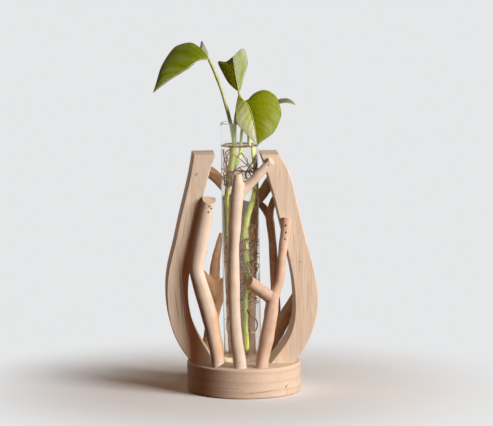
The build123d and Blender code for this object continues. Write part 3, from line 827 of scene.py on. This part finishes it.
def glassOutline():
    outer, wall, top = tube["radius"], tube["wall"], tube["length"]
    inner, foot, rounded = outer - wall, tube["footThickness"], tube["footRound"]
    outline = [(radius, 0.0) for radius in tube["middle"]]
    outline += quarterArc((outer - rounded, rounded), rounded, -90, 0, 9)
    outline += [(outer, z) for z in np.linspace(rounded + 1, top - 3, 40)]
    outline += quarterArc((outer - wall / 2, top - wall / 2), wall / 2, 0, 180, 11)
    outline += [(inner, z) for z in np.linspace(top - 3, foot + rounded, 40)]
    small = rounded - wall
    outline += quarterArc((inner - small, foot + small), small, 0, -90, 7)
    return outline + [(radius, foot) for radius in reversed(tube["middle"])]


def waterOutline():
    inner = tube["radius"] - tube["wall"] + tube["overlap"]
    foot = tube["footThickness"] - tube["overlap"]
    small = tube["footRound"] - tube["wall"]
    level, climb = tube["waterHeight"], tube["meniscus"]
    outline = [(radius, foot) for radius in tube["middle"]]
    outline += quarterArc((inner - small, foot + small), small, -90, 0, 7)
    outline += [(inner, z) for z in np.linspace(foot + small + 1, level, 30)]
    outline += [(inner, level + climb)]
    for share in np.linspace(0, 1, 12)[1:]:
        outline.append((inner - tube["meniscusWidth"] * share,
                        level + climb * (1 - share) ** 2.4))
    return outline + [(5.0, level), (0.5, level)]


# Clear material that lets lamps through, as glass and water do. Where the water's rim climbs the
# glass it is tinted brown, a painted reflection of the wood round it.
def clearMaterial(name, ior, colour, paintedReflectionColour=None):
    material, tree, surface = newMaterial(name, Roughness=0.0, IOR=ior)
    surface.inputs["Transmission Weight"].default_value = 1.0
    surface.inputs["Base Color"].default_value = linear(colour)
    if paintedReflectionColour:
        place = addNode(tree, "TexCoord")
        height = addNode(tree, "SeparateXYZ", links={0: place.outputs["Object"]})
        fromRim = addNode(tree, "Math", {"operation": "SUBTRACT", 1: tube["rimHeight"] * mm},
                          {0: height.outputs["Z"]})
        apart = addNode(tree, "Math", {"operation": "ABSOLUTE"}, {0: fromRim.outputs[0]})
        start, end = tube["rimFade"]
        near = addNode(tree, "MapRange", {"interpolation_type": "SMOOTHSTEP",
                                          "From Min": start * mm, "From Max": end * mm,
                                          "To Min": 1.0, "To Max": 0.0},
                       {"Value": apart.outputs[0]})
        # painted reflection: a brown band where the water's rim climbs the glass
        paintedReflectionBand = addNode(tree, "Mix", {"data_type": "RGBA", 6: colour, 7: paintedReflectionColour},
                         {0: near.outputs[0]})
        tree.links.new(paintedReflectionBand.outputs[2], surface.inputs["Base Color"])
    path = addNode(tree, "LightPath")
    through = addNode(tree, "BsdfTransparent", {"Color": "#f8f9f8"})
    both = addNode(tree, "MixShader", links={
        0: path.outputs["Is Shadow Ray"], 1: surface.outputs[0], 2: through.outputs[0]})
    tree.links.new(both.outputs[0], tree.nodes["Material Output"].inputs["Surface"])
    return material


points, faces = turned(glassOutline())
addPiece("drawn_glass_tube", points, faces, "tube",
         clearMaterial("drawn_borosilicate_glass", 1.5, "#fefefe"), ["glass_tube"])
# the water's brown rim colour is a painted reflection of the wood
points, faces = turned(waterOutline())
addPiece("water", points, faces, "tube",
         clearMaterial("still_water", 1.333, "#fefdf7", "#96683c"))
print("glass and water made")


# Leaf stalks and stems
stalks = {
    "left_leaf_stalk": [
        (-28.6, -6.2, 269.2, 2.6), (-25.0, -5.6, 261.8, 3.0), (-22.4, -5.1, 255.2, 2.9),
        (-19.5, -4.4, 247.3, 2.6), (-17.0, -3.7, 239.5, 2.6), (-14.1, -2.9, 229.5, 2.8),
        (-11.6, -2.1, 219.6, 3.0), (-9.4, -1.5, 210.0, 3.1), (-7.7, -0.8, 199.5, 3.4)],
    "folded_leaf_stalk": [
        (-4.1, 3.6, 242.2, 2.0), (-3.3, 3.6, 238.6, 2.3), (-3.7, 3.6, 232.1, 2.5),
        (-5.5, 3.4, 225.5, 2.7), (-6.7, 3.0, 218.0, 2.8), (-7.4, 2.2, 208.0, 2.9),
        (-7.4, 1.2, 200.0, 3.0)],
    "small_leaf_stalk": [
        (23.4, 13.0, 232.2, 1.8), (17.0, 12.4, 232.4, 2.0), (9.2, 9.6, 230.0, 2.1),
        (3.2, 5.4, 223.0, 2.2), (-1.2, 2.4, 212.0, 2.3), (-2.3, 1.9, 200.0, 2.4),
        (-2.8, 1.4, 194.0, 2.6), (-5.0, 0.8, 185.0, 2.8), (-7.9, 0.4, 178.5, 2.9)],
    "front_leaf_stalk": [
        (-1.2, -9.2, 235.4, 2.4), (0.9, -6.6, 229.0, 2.8), (3.0, -2.8, 218.0, 3.0),
        (4.0, -0.3, 206.0, 3.1), (4.5, 0.6, 197.0, 3.1), (5.4, 0.9, 188.0, 3.2),
        (6.2, 1.0, 180.0, 3.3)],
    "left_stem": [
        (-7.6, 0.0, 201.0, 4.6), (-7.7, 0.1, 190.0, 4.4), (-8.8, 0.3, 179.0, 4.8),
        (-10.6, 0.8, 165.0, 3.4), (-11.5, 0.8, 150.0, 3.2), (-11.5, 0.8, 124.0, 3.0)],
    "long_stem": [
        (6.2, 1.0, 182.0, 3.4), (6.2, 1.0, 168.0, 3.3), (5.4, 0.8, 158.0, 3.4),
        (3.2, 0.5, 149.0, 3.5), (1.2, 0.1, 140.0, 3.5), (0.1, 0.0, 131.0, 3.6),
        (-0.2, 0.0, 124.0, 4.6), (0.6, 0.2, 112.0, 3.5), (1.6, 0.3, 99.0, 3.5),
        (2.2, 0.3, 88.0, 4.6), (0.6, 0.2, 76.0, 3.6), (0.2, 0.0, 58.0, 3.7),
        (0.9, -0.2, 39.0, 3.6), (1.0, -0.2, 31.5, 3.5)],
}


# Living stalk and stem, firm and waxy, pale yellow-green streaked along with darker green, and
# where asked nearly olive below a height, which is painted shade
def waxyStalk(name, colours, blush, shadedBelow=None):
    material, tree, surface = newMaterial(name, Roughness=0.42)
    surface.inputs["Subsurface Weight"].default_value = 0.15
    surface.inputs["Subsurface Scale"].default_value = 1.5 * mm
    place = addNode(tree, "TexCoord")
    scaled = addNode(tree, "VectorMath", {"operation": "MULTIPLY", 1: stalkLook["streaks"]},
                     {0: place.outputs["Object"]})
    streak = addNode(tree, "TexNoise", {"Scale": 1.0, "Detail": 3.0}, {"Vector": scaled.outputs[0]})
    colour = addNode(tree, "ValToRGB", {"stops": colours}, {"Fac": streak.outputs["Fac"]})
    spots = addNode(tree, "TexNoise", {"Scale": stalkLook["spots"], "Detail": 2.0},
                    {"Vector": place.outputs["Object"]})
    depth = addNode(tree, "MapRange", {"From Min": 0.62, "From Max": 0.76, "To Min": 0.0,
                                       "To Max": 0.5}, {"Value": spots.outputs["Fac"]})
    final = addNode(tree, "Mix", {"data_type": "RGBA", 7: blush},
                    {0: depth.outputs[0], 6: colour.outputs["Color"]})
    # painted shade: darker olive below the given height
    if shadedBelow:
        height = addNode(tree, "SeparateXYZ", links={0: place.outputs["Object"]})
        fade = stalkLook["shadeFade"]
        age = addNode(tree, "MapRange", {"From Min": (shadedBelow - fade) * mm,
                                         "From Max": (shadedBelow + fade) * mm,
                                         "To Min": stalkLook["shadeDepth"], "To Max": 0.0},
                      {"Value": height.outputs["Z"]})
        final = addNode(tree, "Mix", {"data_type": "RGBA", 7: stalkLook["shadeColour"]},
                        {0: age.outputs[0], 6: final.outputs[2]})
    tree.links.new(final.outputs[2], surface.inputs["Base Color"])
    bump = addNode(tree, "Bump", {"Strength": 0.3, "Distance": 0.1 * mm},
                   {"Height": streak.outputs["Fac"]})
    tree.links.new(bump.outputs[0], surface.inputs["Normal"])
    return material


stalkLook = {
    "streaks": (700, 700, 45), "spots": 160.0,
    # how far the painted shade at a stem's foot fades, how deep it goes and its colour
    "shadeFade": 4, "shadeDepth": 0.85, "shadeColour": "#4c4a10",
}
stalkMaking = {
    "step": 0.8, "turns": 18, "groove": 0.10, "grooveWidth": 0.5, "rounded": 0.015,
    "flatEnd": 0.04, "swell": (0.03, 23), "oval": 0.02,
}
stalkMaterial = waxyStalk("waxy_leaf_stalk",
                          [(0.3, "#a6ae5c"), (0.55, "#bac07c"), (0.8, "#cdd09c")], "#8d8848")
stemColours = [(0.3, "#7d8424"), (0.55, "#a2a443"), (0.8, "#c2be6c")]
stemMaterial = waxyStalk("waxy_green_stem", stemColours, "#6b561e")
oldStemMaterial = waxyStalk("waxy_stem_with_painted_shade_at_its_foot", stemColours, "#6b561e", shadedBelow=152.0)
for name, route in stalks.items():
    line = smoothLine(route, stalkMaking["step"])
    rng = np.random.default_rng(sum(map(ord, name)))
    phase = rng.uniform(0, 6.28, 3)

    def stalkShape(along, angle):
        turn = (np.mod(angle - phase[0], 2 * np.pi) - np.pi) / stalkMaking["grooveWidth"]
        groove = -stalkMaking["groove"] * np.exp(-turn ** 2)
        toEnd = np.minimum(along, 1 - along) / stalkMaking["rounded"]
        rounded = np.sqrt(np.clip(toEnd, stalkMaking["flatEnd"], 1))
        swell, rate = stalkMaking["swell"]
        return rounded * (1 + groove + swell * np.sin(rate * along + phase[1])
                          + stalkMaking["oval"] * np.sin(2 * angle + phase[2]))

    points, faces = tubeMesh(line, stalkMaking["turns"], stalkShape)
    material = {"left_stem": oldStemMaterial, "long_stem": stemMaterial}.get(name, stalkMaterial)
    addPiece("grown_" + name, points, faces, "cutting", material, [name])
print("stalks made")


# Leaves. Each half is ruled from the midrib to its margin, lists of (x, y, z) from stalk to tip,
# and swells towards the way that it faces. A margin leaves out the ends that both share.
leaves = {
    "left_leaf": {
        "midrib": [(-28.8, -6.4, 269.1), (-35.2, -8.4, 268.6), (-40.5, -9.8, 266.4),
                   (-48.7, -11.2, 260.6), (-63.5, -12.3, 251.8), (-73.2, -12.0, 243.0)],
        "halves": [
            {"margin": [(-32.7, -3.2, 275.1), (-39.1, 2.0, 280.0), (-43.9, 4.0, 281.1),
                        (-51.2, 5.0, 279.4), (-57.0, 4.0, 275.8), (-65.9, -3.0, 263.4),
                        (-71.1, -10.0, 248.6)],
             "facing": (-0.34, -0.73, 0.58), "swell": 2.6, "tint": "deep"},
            {"margin": [(-28.9, -3.0, 273.2), (-30.8, 0.5, 277.8), (-33.4, 4.5, 282.4),
                        (-34.6, 9.0, 277.0), (-36.6, 13.0, 268.0), (-38.6, 13.0, 265.0),
                        (-42.0, 12.0, 262.6), (-54.5, 5.0, 255.1), (-63.1, -3.0, 249.4)],
             "facing": (-0.5, 0.16, 0.85), "swell": -1.2, "tint": "under"},
        ],
    },
    "folded_leaf": {
        "midrib": [(-4.1, 3.6, 241.7), (-5.4, 3.0, 248.6), (-6.7, 2.6, 255.2),
                   (-7.9, 2.4, 262.6), (-8.8, 2.8, 269.8)],
        "halves": [
            {"margin": [(-7.7, 5.2, 244.3), (-12.2, 7.6, 248.8), (-16.2, 10.0, 255.8),
                        (-20.0, 12.4, 264.7), (-14.5, 9.6, 265.0), (-11.4, 6.6, 267.0)],
             "facing": (-0.6, -0.8, 0.0), "swell": 1.0, "tint": "dark"},
            {"margin": [(-2.2, 4.6, 243.9), (-0.2, 7.0, 251.4), (2.2, 9.0, 258.6),
                        (3.6, 10.0, 265.1), (1.4, 9.4, 273.8), (-0.7, 8.4, 275.8),
                        (-3.2, 6.8, 274.5)],
             "facing": (0.6, -0.8, 0.0), "swell": 1.4, "tint": "pale"},
        ],
    },
    "front_leaf": {
        "midrib": [(-1.2, -9.0, 235.0), (1.8, -10.6, 233.3), (4.4, -13.4, 228.0),
                   (6.1, -15.8, 221.7), (7.4, -17.4, 215.4), (8.4, -18.0, 208.1),
                   (9.7, -17.2, 200.6)],
        "halves": [
            {"margin": [(2.8, -7.0, 236.2), (6.2, -5.4, 239.5), (10.3, -4.4, 242.1),
                        (15.7, -4.0, 243.4), (21.0, -4.6, 241.8), (25.8, -6.0, 237.4),
                        (29.0, -9.6, 227.5), (28.2, -11.6, 221.1), (22.9, -14.6, 210.8),
                        (14.0, -16.6, 204.2)],
             "facing": (0.18, -0.91, 0.36), "swell": 3.0, "tint": "mid"},
            {"margin": [(-3.5, -6.8, 238.5), (-4.7, -6.4, 239.7), (-6.0, -7.4, 235.7),
                        (-7.3, -10.4, 229.4), (-7.7, -13.6, 224.1), (-6.5, -16.6, 217.8),
                        (1.3, -18.2, 209.0), (6.2, -18.0, 204.4)],
             "facing": (-0.1, -0.95, 0.28), "swell": 1.2, "tint": "light"},
        ],
    },
    "small_leaf": {
        "midrib": [(23.1, 13.0, 231.7), (28.1, 13.5, 233.6), (32.2, 13.0, 234.6),
                   (36.2, 11.6, 234.6), (39.3, 9.4, 233.1), (41.7, 6.5, 230.6)],
        "halves": [
            {"margin": [(25.0, 6.0, 230.4), (29.0, 3.6, 231.8), (33.9, 3.4, 232.5),
                        (38.1, 4.6, 231.8)],
             "facing": (0.0, -0.26, 0.96), "swell": 0.6, "tint": "greyed"},
            {"margin": [(27.8, 21.0, 231.7), (32.9, 23.0, 232.0), (36.7, 19.0, 232.0),
                        (39.6, 13.0, 231.5)],
             "facing": (0.0, 0.25, 0.97), "swell": 0.6, "tint": "mid"},
        ],
    },
}
leafMaking = {
    "rows": 72, "columns": 24, "thickness": 0.45, "groove": 0.3,
    "veins": 7, "veinRise": 0.12, "veinLean": 0.45, "veinBend": 0.8,
    "midrib": {"points": 50, "turns": 10, "from": 1.3, "to": 0.5, "colour": "#b9c276"},
}


# Points at even shares of a smooth line's length
def sharesOf(points, shares):
    line = smoothLine([tuple(p) + (1.0,) for p in points], 0.25)[:, :3]
    lengths = lengthsAlong(line)
    return np.stack([np.interp(np.asarray(shares) * lengths[-1], lengths, line[:, k])
                     for k in range(3)], axis=1)


# The grid of a half's middle sheet, its normals on the side it faces, and the grid's two shares
def makeLeafHalf(midribPoints, half):
    rows, columns = leafMaking["rows"], leafMaking["columns"]
    u = np.linspace(0, 1, rows)
    v = np.linspace(0, 1, columns)
    midrib = sharesOf(midribPoints, u)
    margin = [midribPoints[0]] + half["margin"] + [midribPoints[-1]]
    reach = sharesOf(margin, u) - midrib
    width = np.linalg.norm(reach, axis=1)
    across = reach / (width[:, None] + 1e-6)
    facing = np.array(half["facing"])
    lift = facing - across * (across @ facing)[:, None]
    lift /= np.linalg.norm(lift, axis=1)[:, None]
    part = (width / width.max())[:, None]
    swell = half["swell"] * (1 - (2 * v[None, :] - 1) ** 2) * part
    bent = leafMaking["veinLean"] * v[None, :] ** leafMaking["veinBend"]
    lateral = np.cos(2 * np.pi * leafMaking["veins"] * (u[:, None] - bent))
    pucker = leafMaking["veinRise"] * (lateral - 1) * np.minimum(1, 4 * (1 - v))[None, :] * part
    groove = -leafMaking["groove"] * np.exp(-(v[None, :] * width[:, None]) ** 2)
    grid = midrib[:, None, :] + reach[:, None, :] * v[None, :, None]
    grid = grid + lift[:, None, :] * (swell + pucker + groove)[..., None]
    normal = np.cross(np.gradient(grid, axis=0), np.gradient(grid, axis=1))
    normal /= np.linalg.norm(normal, axis=2)[..., None] + 1e-9
    normal[(normal * lift[:, None, :]).sum(2) < 0] *= -1
    return grid, normal, u, v


# Leaf colours. The mark is mixed into the base by "spread": so much everywhere, towards the tip,
# towards the margin, and towards both edges of the half. Streaks follow the veins.
tints = {
    "deep": {"base": "#7e8b02", "mark": "#a2ac62", "spread": (-0.1, 0.45, 0.1, 0.0),
             "streaks": 9.0, "contrast": 0.5},
    "mid": {"base": "#8c9502", "mark": "#b9be7a", "spread": (-0.7, 1.0, 0.35, 0.0),
            "streaks": 7.0, "contrast": 0.6},
    # light: pale variegated green, with a whitish mark towards the tip that is painted sheen
    "light": {"base": "#b6c044", "mark": "#e2e4c4", "spread": (-0.25, 1.5, 0.0, 0.0),
              "streaks": 5.0, "contrast": 0.35},
    "dark": {"base": "#9ca60e", "mark": "#b5bb94", "spread": (-0.9, 0.1, 1.0, 0.0),
             "streaks": 22.0, "contrast": 0.9},
    # pale: a greyish mark towards both edges, part variegation and part painted sheen
    "pale": {"base": "#99a42c", "mark": "#bbc09c", "spread": (0.15, 0.2, 0.0, 0.8),
             "streaks": 8.0, "contrast": 0.5},
    "under": {"base": "#a9ad83", "mark": "#cccdba", "spread": (0.4, 0.0, 0.2, 0.0),
              "streaks": 8.0, "contrast": 0.5},
    "greyed": {"base": "#7c8450", "mark": "#b0b392", "spread": (0.1, 0.2, 0.2, 0.0),
               "streaks": 12.0, "contrast": 0.7},
}


def blended(colour, other, share):
    a, b = np.array(linear(colour)[:3]), np.array(linear(other)[:3])
    return a[None, :] * (1 - share[:, None]) + b[None, :] * share[:, None]


def leafTint(where, tint, seed):
    streaks = tint["streaks"]
    flow = np.empty(len(where))
    for i, (u, v) in enumerate(where):
        vein = u - 0.5 * v ** 0.8
        flow[i] = (noise.noise(Vector((vein * streaks, v * 1.4, seed)))
                   + 0.6 * noise.noise(Vector((vein * streaks * 3, v * 2.5, seed + 5.0))))
    u, v = where[:, 0], where[:, 1]
    everywhere, tip, margin, edges = tint["spread"]
    share = everywhere + tip * u + margin * v + edges * np.abs(2 * v - 1) + tint["contrast"] * flow
    return blended(tint["base"], tint["mark"], np.clip(share, 0, 1))


# A leaf, glossy and a little leathery: the colours lie in the mesh, veins and sheen in the nodes
def leafMaterial():
    material, tree, surface = newMaterial("waxy_leaf", Roughness=0.42, IOR=1.45)
    surface.inputs["Specular IOR Level"].default_value = 0.16
    colour = addNode(tree, "Attribute", {"attribute_name": "leafColour"})
    place = addNode(tree, "Attribute", {"attribute_name": "leafPlace"})
    split = addNode(tree, "SeparateXYZ", links={0: place.outputs["Vector"]})
    bent = addNode(tree, "Math", {"operation": "POWER", 1: leafMaking["veinBend"]},
                   {0: split.outputs["Y"]})
    shift = addNode(tree, "Math", {"operation": "MULTIPLY_ADD", 1: -leafMaking["veinLean"]},
                    {0: bent.outputs[0], 2: split.outputs["X"]})
    phase = addNode(tree, "Math", {"operation": "MULTIPLY", 1: float(leafMaking["veins"])},
                    {0: shift.outputs[0]})
    fraction = addNode(tree, "Math", {"operation": "PINGPONG", 1: 0.5}, {0: phase.outputs[0]})
    vein = addNode(tree, "MapRange", {"From Min": 0.0, "From Max": 0.14, "To Min": 0.08,
                                      "To Max": 0.0, "interpolation_type": "SMOOTHSTEP"},
                   {"Value": fraction.outputs[0]})
    rib = addNode(tree, "MapRange", {"From Min": 0.0, "From Max": 0.05, "To Min": 0.35,
                                     "To Max": 0.0, "interpolation_type": "SMOOTHSTEP"},
                  {"Value": split.outputs["Y"]})
    most = addNode(tree, "Math", {"operation": "MAXIMUM"}, {0: vein.outputs[0], 1: rib.outputs[0]})
    objectPlace = addNode(tree, "TexCoord")
    fleck = addNode(tree, "TexNoise", {"Scale": 500.0, "Detail": 4.0},
                    {"Vector": objectPlace.outputs["Object"]})
    shade = addNode(tree, "MapRange", {"From Min": 0.3, "From Max": 0.7, "To Min": 0.86,
                                       "To Max": 1.1}, {"Value": fleck.outputs["Fac"]})
    flecked = addNode(tree, "VectorMath", {"operation": "SCALE"},
                      {0: colour.outputs["Color"], "Scale": shade.outputs[0]})
    veined = addNode(tree, "Mix", {"data_type": "RGBA", 7: "#b6bf55"},
                     {0: most.outputs[0], 6: flecked.outputs[0]})
    tree.links.new(veined.outputs[2], surface.inputs["Base Color"])
    bump = addNode(tree, "Bump", {"Strength": 0.25, "Distance": 0.12 * mm},
                   {"Height": fleck.outputs["Fac"]})
    tree.links.new(bump.outputs[0], surface.inputs["Normal"])
    glow = addNode(tree, "BsdfTranslucent", links={"Color": veined.outputs[2]})
    both = addNode(tree, "MixShader", {0: 0.25}, {1: surface.outputs[0], 2: glow.outputs[0]})
    tree.links.new(both.outputs[0], tree.nodes["Material Output"].inputs["Surface"])
    return material


def makeLeaf(name, leaf, material):
    points, faces, colours, places = [], [], [], []
    for index, half in enumerate(leaf["halves"]):
        grid, normal, u, v = makeLeafHalf(leaf["midrib"], half)
        rows, columns = grid.shape[:2]
        where = np.stack(np.meshgrid(u, v, indexing="ij"), axis=2).reshape(-1, 2)
        tint = leafTint(where, tints[half["tint"]], 7.0 * index + len(name))
        front = len(points)
        back = front + rows * columns
        for side in (1, -1):
            points += (grid + normal * side * leafMaking["thickness"] / 2).reshape(-1, 3).tolist()
            colours += (tint if side == 1 else tint * 0.85 + 0.07).tolist()
            places += np.column_stack([where, np.full(len(where), side)]).tolist()
        for i in range(rows - 1):
            for j in range(columns - 1):
                a = i * columns + j
                quad = (a, a + columns, a + columns + 1, a + 1)
                faces.append(tuple(front + k for k in quad))
                faces.append(tuple(back + k for k in reversed(quad)))
            a = (i + 1) * columns - 1
            faces.append((front + a, front + a + columns, back + a + columns, back + a))
    making = leafMaking["midrib"]
    rib = sharesOf(leaf["midrib"], np.linspace(0, 1, making["points"]))
    widths = np.linspace(making["from"], making["to"], len(rib))
    added = joinMesh(points, faces,
                     *tubeMesh(np.column_stack([rib, widths]), making["turns"]))
    colours += [linear(making["colour"])[:3]] * added
    places += [(0.5, 0.5, 1)] * added
    mesh = newMesh(name, points, faces)
    field = mesh.attributes.new("leafColour", "FLOAT_COLOR", "POINT")
    field.data.foreach_set("color", np.column_stack([colours, np.ones(len(colours))])
                           .astype(np.float32).ravel())
    addField(mesh, "leafPlace", np.array(places))
    bm = bmesh.new()
    bm.from_mesh(mesh)
    bmesh.ops.remove_doubles(bm, verts=bm.verts, dist=0.02 * mm)
    bmesh.ops.recalc_face_normals(bm, faces=bm.faces)
    bm.to_mesh(mesh)
    bm.free()
    mesh.shade_smooth()
    mesh.materials.append(material)
    piece = newObject("grown_" + name, mesh)
    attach(piece, "cutting")
    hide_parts(name)


waxyLeaf = leafMaterial()
for name, leaf in leaves.items():
    makeLeaf(name, leaf, waxyLeaf)
print("leaves made")


# Roots that can be told apart, each a diameter and then points in the tube, and round them thin
# strands that wander down or up from where they start
rootRoutes = {
    "upper": [
        (1.7, [(-7.8, -2, 178.0), (-5.8, -3, 178.3), (-2.9, -5, 178.9), (0.1, -6, 178.2),
               (3.1, -5, 178.5), (6.3, -2, 176.9)]),
        (1.2, [(-2.3, -5, 178.4), (-2.6, -6, 174.6), (-1.7, -6, 171.4), (0.7, -5, 170.0),
               (3.3, -3, 171.4), (5.2, -1, 174.7), (5.8, 1, 177.7)]),
        (1.1, [(0.4, -6, 178.2), (0.0, -7, 175.5), (1.9, -6, 172.2), (3.8, -4, 173.9),
               (2.6, -3, 177.0), (0.6, -4, 178.8)]),
        (1.2, [(-14.5, -1, 195.5), (-14.4, -3, 189.7), (-13.1, -4, 184.2), (-11.3, -3, 180.0),
               (-10.0, -1, 177.4)]),
        (1.1, [(-8.4, -0.9, 196.6), (-13.8, -5, 193.5), (-12.7, -6, 189.3), (-13.8, -6, 182.8),
               (-12.0, -5, 177.0), (-13.1, -4, 171.3), (-11.3, -4, 166.4), (-8.9, -5, 168.1),
               (-8.9, -5, 173.0)]),
        (1.2, [(-9.3, -0.6, 177.8), (-13.8, -4, 175.4), (-14.7, -4, 171.3), (-13.6, -3, 167.1),
               (-10.7, -4, 166.4)]),
        (1.1, [(-9.4, -0.8, 176.5), (-10.8, -5, 175.5), (-9.0, -7, 172.4), (-10.2, -6, 168.2),
               (-12.6, -6, 169.9), (-14.2, -5, 173.8)]),
        (0.8, [(-7.8, -1, 192.0), (-6.0, -6, 190.8), (-1.8, -7, 186.8), (2.5, -6, 181.8),
               (6.6, -2, 174.8)]),
        (0.8, [(-2.9, 0.8, 193.5), (-0.5, -5, 189.8), (1.8, -7, 185.2), (4.9, -5, 180.9),
               (7.6, 0, 177.0)]),
        (0.9, [(5.6, 0.5, 191.0), (7.2, -1, 190.1), (4.3, -5, 184.9), (1.3, -6, 179.4),
               (0.1, -5, 172.9)]),
        (0.9, [(6.2, 0.9, 184.5), (7.9, 0, 183.4), (4.4, -4, 180.4), (-0.5, -6, 179.0),
               (-4.8, -7, 182.0)]),
        (0.8, [(-7.7, -0.8, 196.3), (-9.7, -6, 195.7), (-12.3, -5, 191.6), (-14.3, -2, 185.6),
               (-13.7, -3, 179.2), (-10.8, -6, 174.7)]),
        (0.8, [(6.2, 0.6, 173.5), (7.6, -0.5, 172.1), (6.0, -3, 166.1), (7.3, -1, 159.3),
               (5.7, -3, 153.1)]),
    ],
    "lower": [
        (1.0, [(1.5, -1, 131.5), (4.5, -3, 134.4), (7.1, -2, 133.5), (4.5, -5, 131.5),
               (5.1, -6, 127.6), (7.1, -3, 122.3)]),
        (1.0, [(0.3, -1, 122.0), (3.3, -6, 124.4), (6.4, -4, 121.6), (6.5, -3, 116.6),
               (4.0, -5, 114.5)]),
        (1.0, [(0.6, -0.8, 114.8), (2.8, -5, 114.5), (6.5, -3, 110.1), (7.2, -2, 102.6),
               (4.7, -5, 98.2), (2.2, -6, 93.5), (5.3, -5, 88.4), (7.9, -2, 81.4)]),
        (1.1, [(1.2, -0.6, 66.5), (4.3, -4, 60.5), (7.4, -3, 57.8), (8.3, -2, 52.7),
               (6.8, -3, 48.0), (4.3, -5, 47.6), (2.4, -5, 50.1)]),
        (1.1, [(-0.5, -0.8, 66.0), (-5.5, -3.5, 64.5), (-9.5, -4, 62.0), (-11.5, -4, 59.1),
               (-12.4, -3, 54.9), (-12.3, -3, 50.0), (-10.9, -4, 47.6), (-8.5, -5, 47.8)]),
        (1.0, [(-11.6, 0, 124.5), (-12.3, -4, 118.6), (-13.5, -3, 113.6), (-11.7, -5, 109.0),
               (-12.9, -4, 104.0), (-11.7, -5, 98.4), (-12.8, -3, 90.0), (-11.0, -5, 86.2),
               (-12.8, -4, 81.2), (-11.6, -5, 76.4), (-13.0, -3, 71.2)]),
    ],
}
rootMaking = {
    "upper": {"replaces": "upper_roots", "starts": [(-8.6, -0.8, 179.0)], "strands": 16,
              "length": (14, 36), "diameter": (0.5, 1.1), "rise": -0.35,
              "low": 140.0, "high": 196.0, "seed": 11},
    "lower": {"replaces": "lower_roots",
              "starts": [(-0.2, -0.6, 124.0), (2.0, -0.6, 88.0), (0.8, 0.0, 105.0)],
              "strands": 34, "length": (20, 62), "diameter": (0.5, 1.2),
              "rise": -0.45, "low": 42.0, "high": 150.0, "seed": 5},
}


strandMaking = {
    "step": 1.2,
    "clear": 1.1,        # how far a strand's middle keeps from the glass
    "turnsFrom": 0.8,    # the share of the way to the glass where it begins to turn back
    "turn": 0.5,
    "wander": 0.33,
    "pull": 0.25,
    "taper": 0.6,
    "finish": 0.9,       # the spacing of its rings
    "turns": 8,
}


# The way from the tube's middle line to a place, level, and its length
def offMiddle(place):
    middle = tube["footX"] - (place[2] - tube["footZ"]) * math.tan(math.radians(tube["lean"]))
    offset = np.array([place[0] - middle, place[1]])
    return offset, np.linalg.norm(offset)


def rootStrand(rng, start, making):
    reach = rng.uniform(*making["length"])
    width = rng.uniform(*making["diameter"])
    angle = rng.uniform(0, 2 * math.pi)
    way = np.array([math.cos(angle), math.sin(angle), rng.uniform(-0.9, 0.3)])
    place = np.array(start, float)
    route = []
    count = int(reach / strandMaking["step"])
    limit = tube["radius"] - tube["wall"] - strandMaking["clear"]
    turn = strandMaking["turn"]
    for i in range(count):
        share = i / count
        route.append(tuple(place) + (width * (1 - strandMaking["taper"] * share),))
        way = way + rng.normal(0, strandMaking["wander"], 3)
        way[2] += making["rise"] * strandMaking["pull"]
        offset, gap = offMiddle(place)
        if gap > limit * strandMaking["turnsFrom"]:
            way[:2] -= offset / gap * turn * (gap / limit)
        if place[2] < making["low"]:
            way[2] += turn
        if place[2] > making["high"]:
            way[2] -= turn
        way /= np.linalg.norm(way)
        place = place + way * strandMaking["step"]
        offset, gap = offMiddle(place)
        if gap > limit:
            place[:2] -= offset * (1 - limit / gap)
    return route


# Water roots, soft and brown, darker where they are old
def rootMaterial():
    material, tree, surface = newMaterial("water_roots", Roughness=0.5)
    place = addNode(tree, "TexCoord")
    age = addNode(tree, "TexNoise", {"Scale": 120.0, "Detail": 3.0},
                  {"Vector": place.outputs["Object"]})
    stops = [(0.35, "#47290f"), (0.55, "#70451f"), (0.75, "#9c6c3a")]
    colour = addNode(tree, "ValToRGB", {"stops": stops}, {"Fac": age.outputs["Fac"]})
    tree.links.new(colour.outputs["Color"], surface.inputs["Base Color"])
    return material


softRoot = rootMaterial()
for name, making in rootMaking.items():
    rng = np.random.default_rng(making["seed"])
    points, faces = [], []
    routes = [[point + (width,) for point in route] for width, route in rootRoutes[name]]
    for i in range(making["strands"]):
        routes.append(rootStrand(rng, making["starts"][i % len(making["starts"])], making))
    for route in routes:
        line = smoothLine(route, strandMaking["finish"])
        joinMesh(points, faces, *tubeMesh(line, strandMaking["turns"]))
    addPiece(name + "_root_tangle", points, faces, "cutting", softRoot,
             [making["replaces"]])
print("roots made")
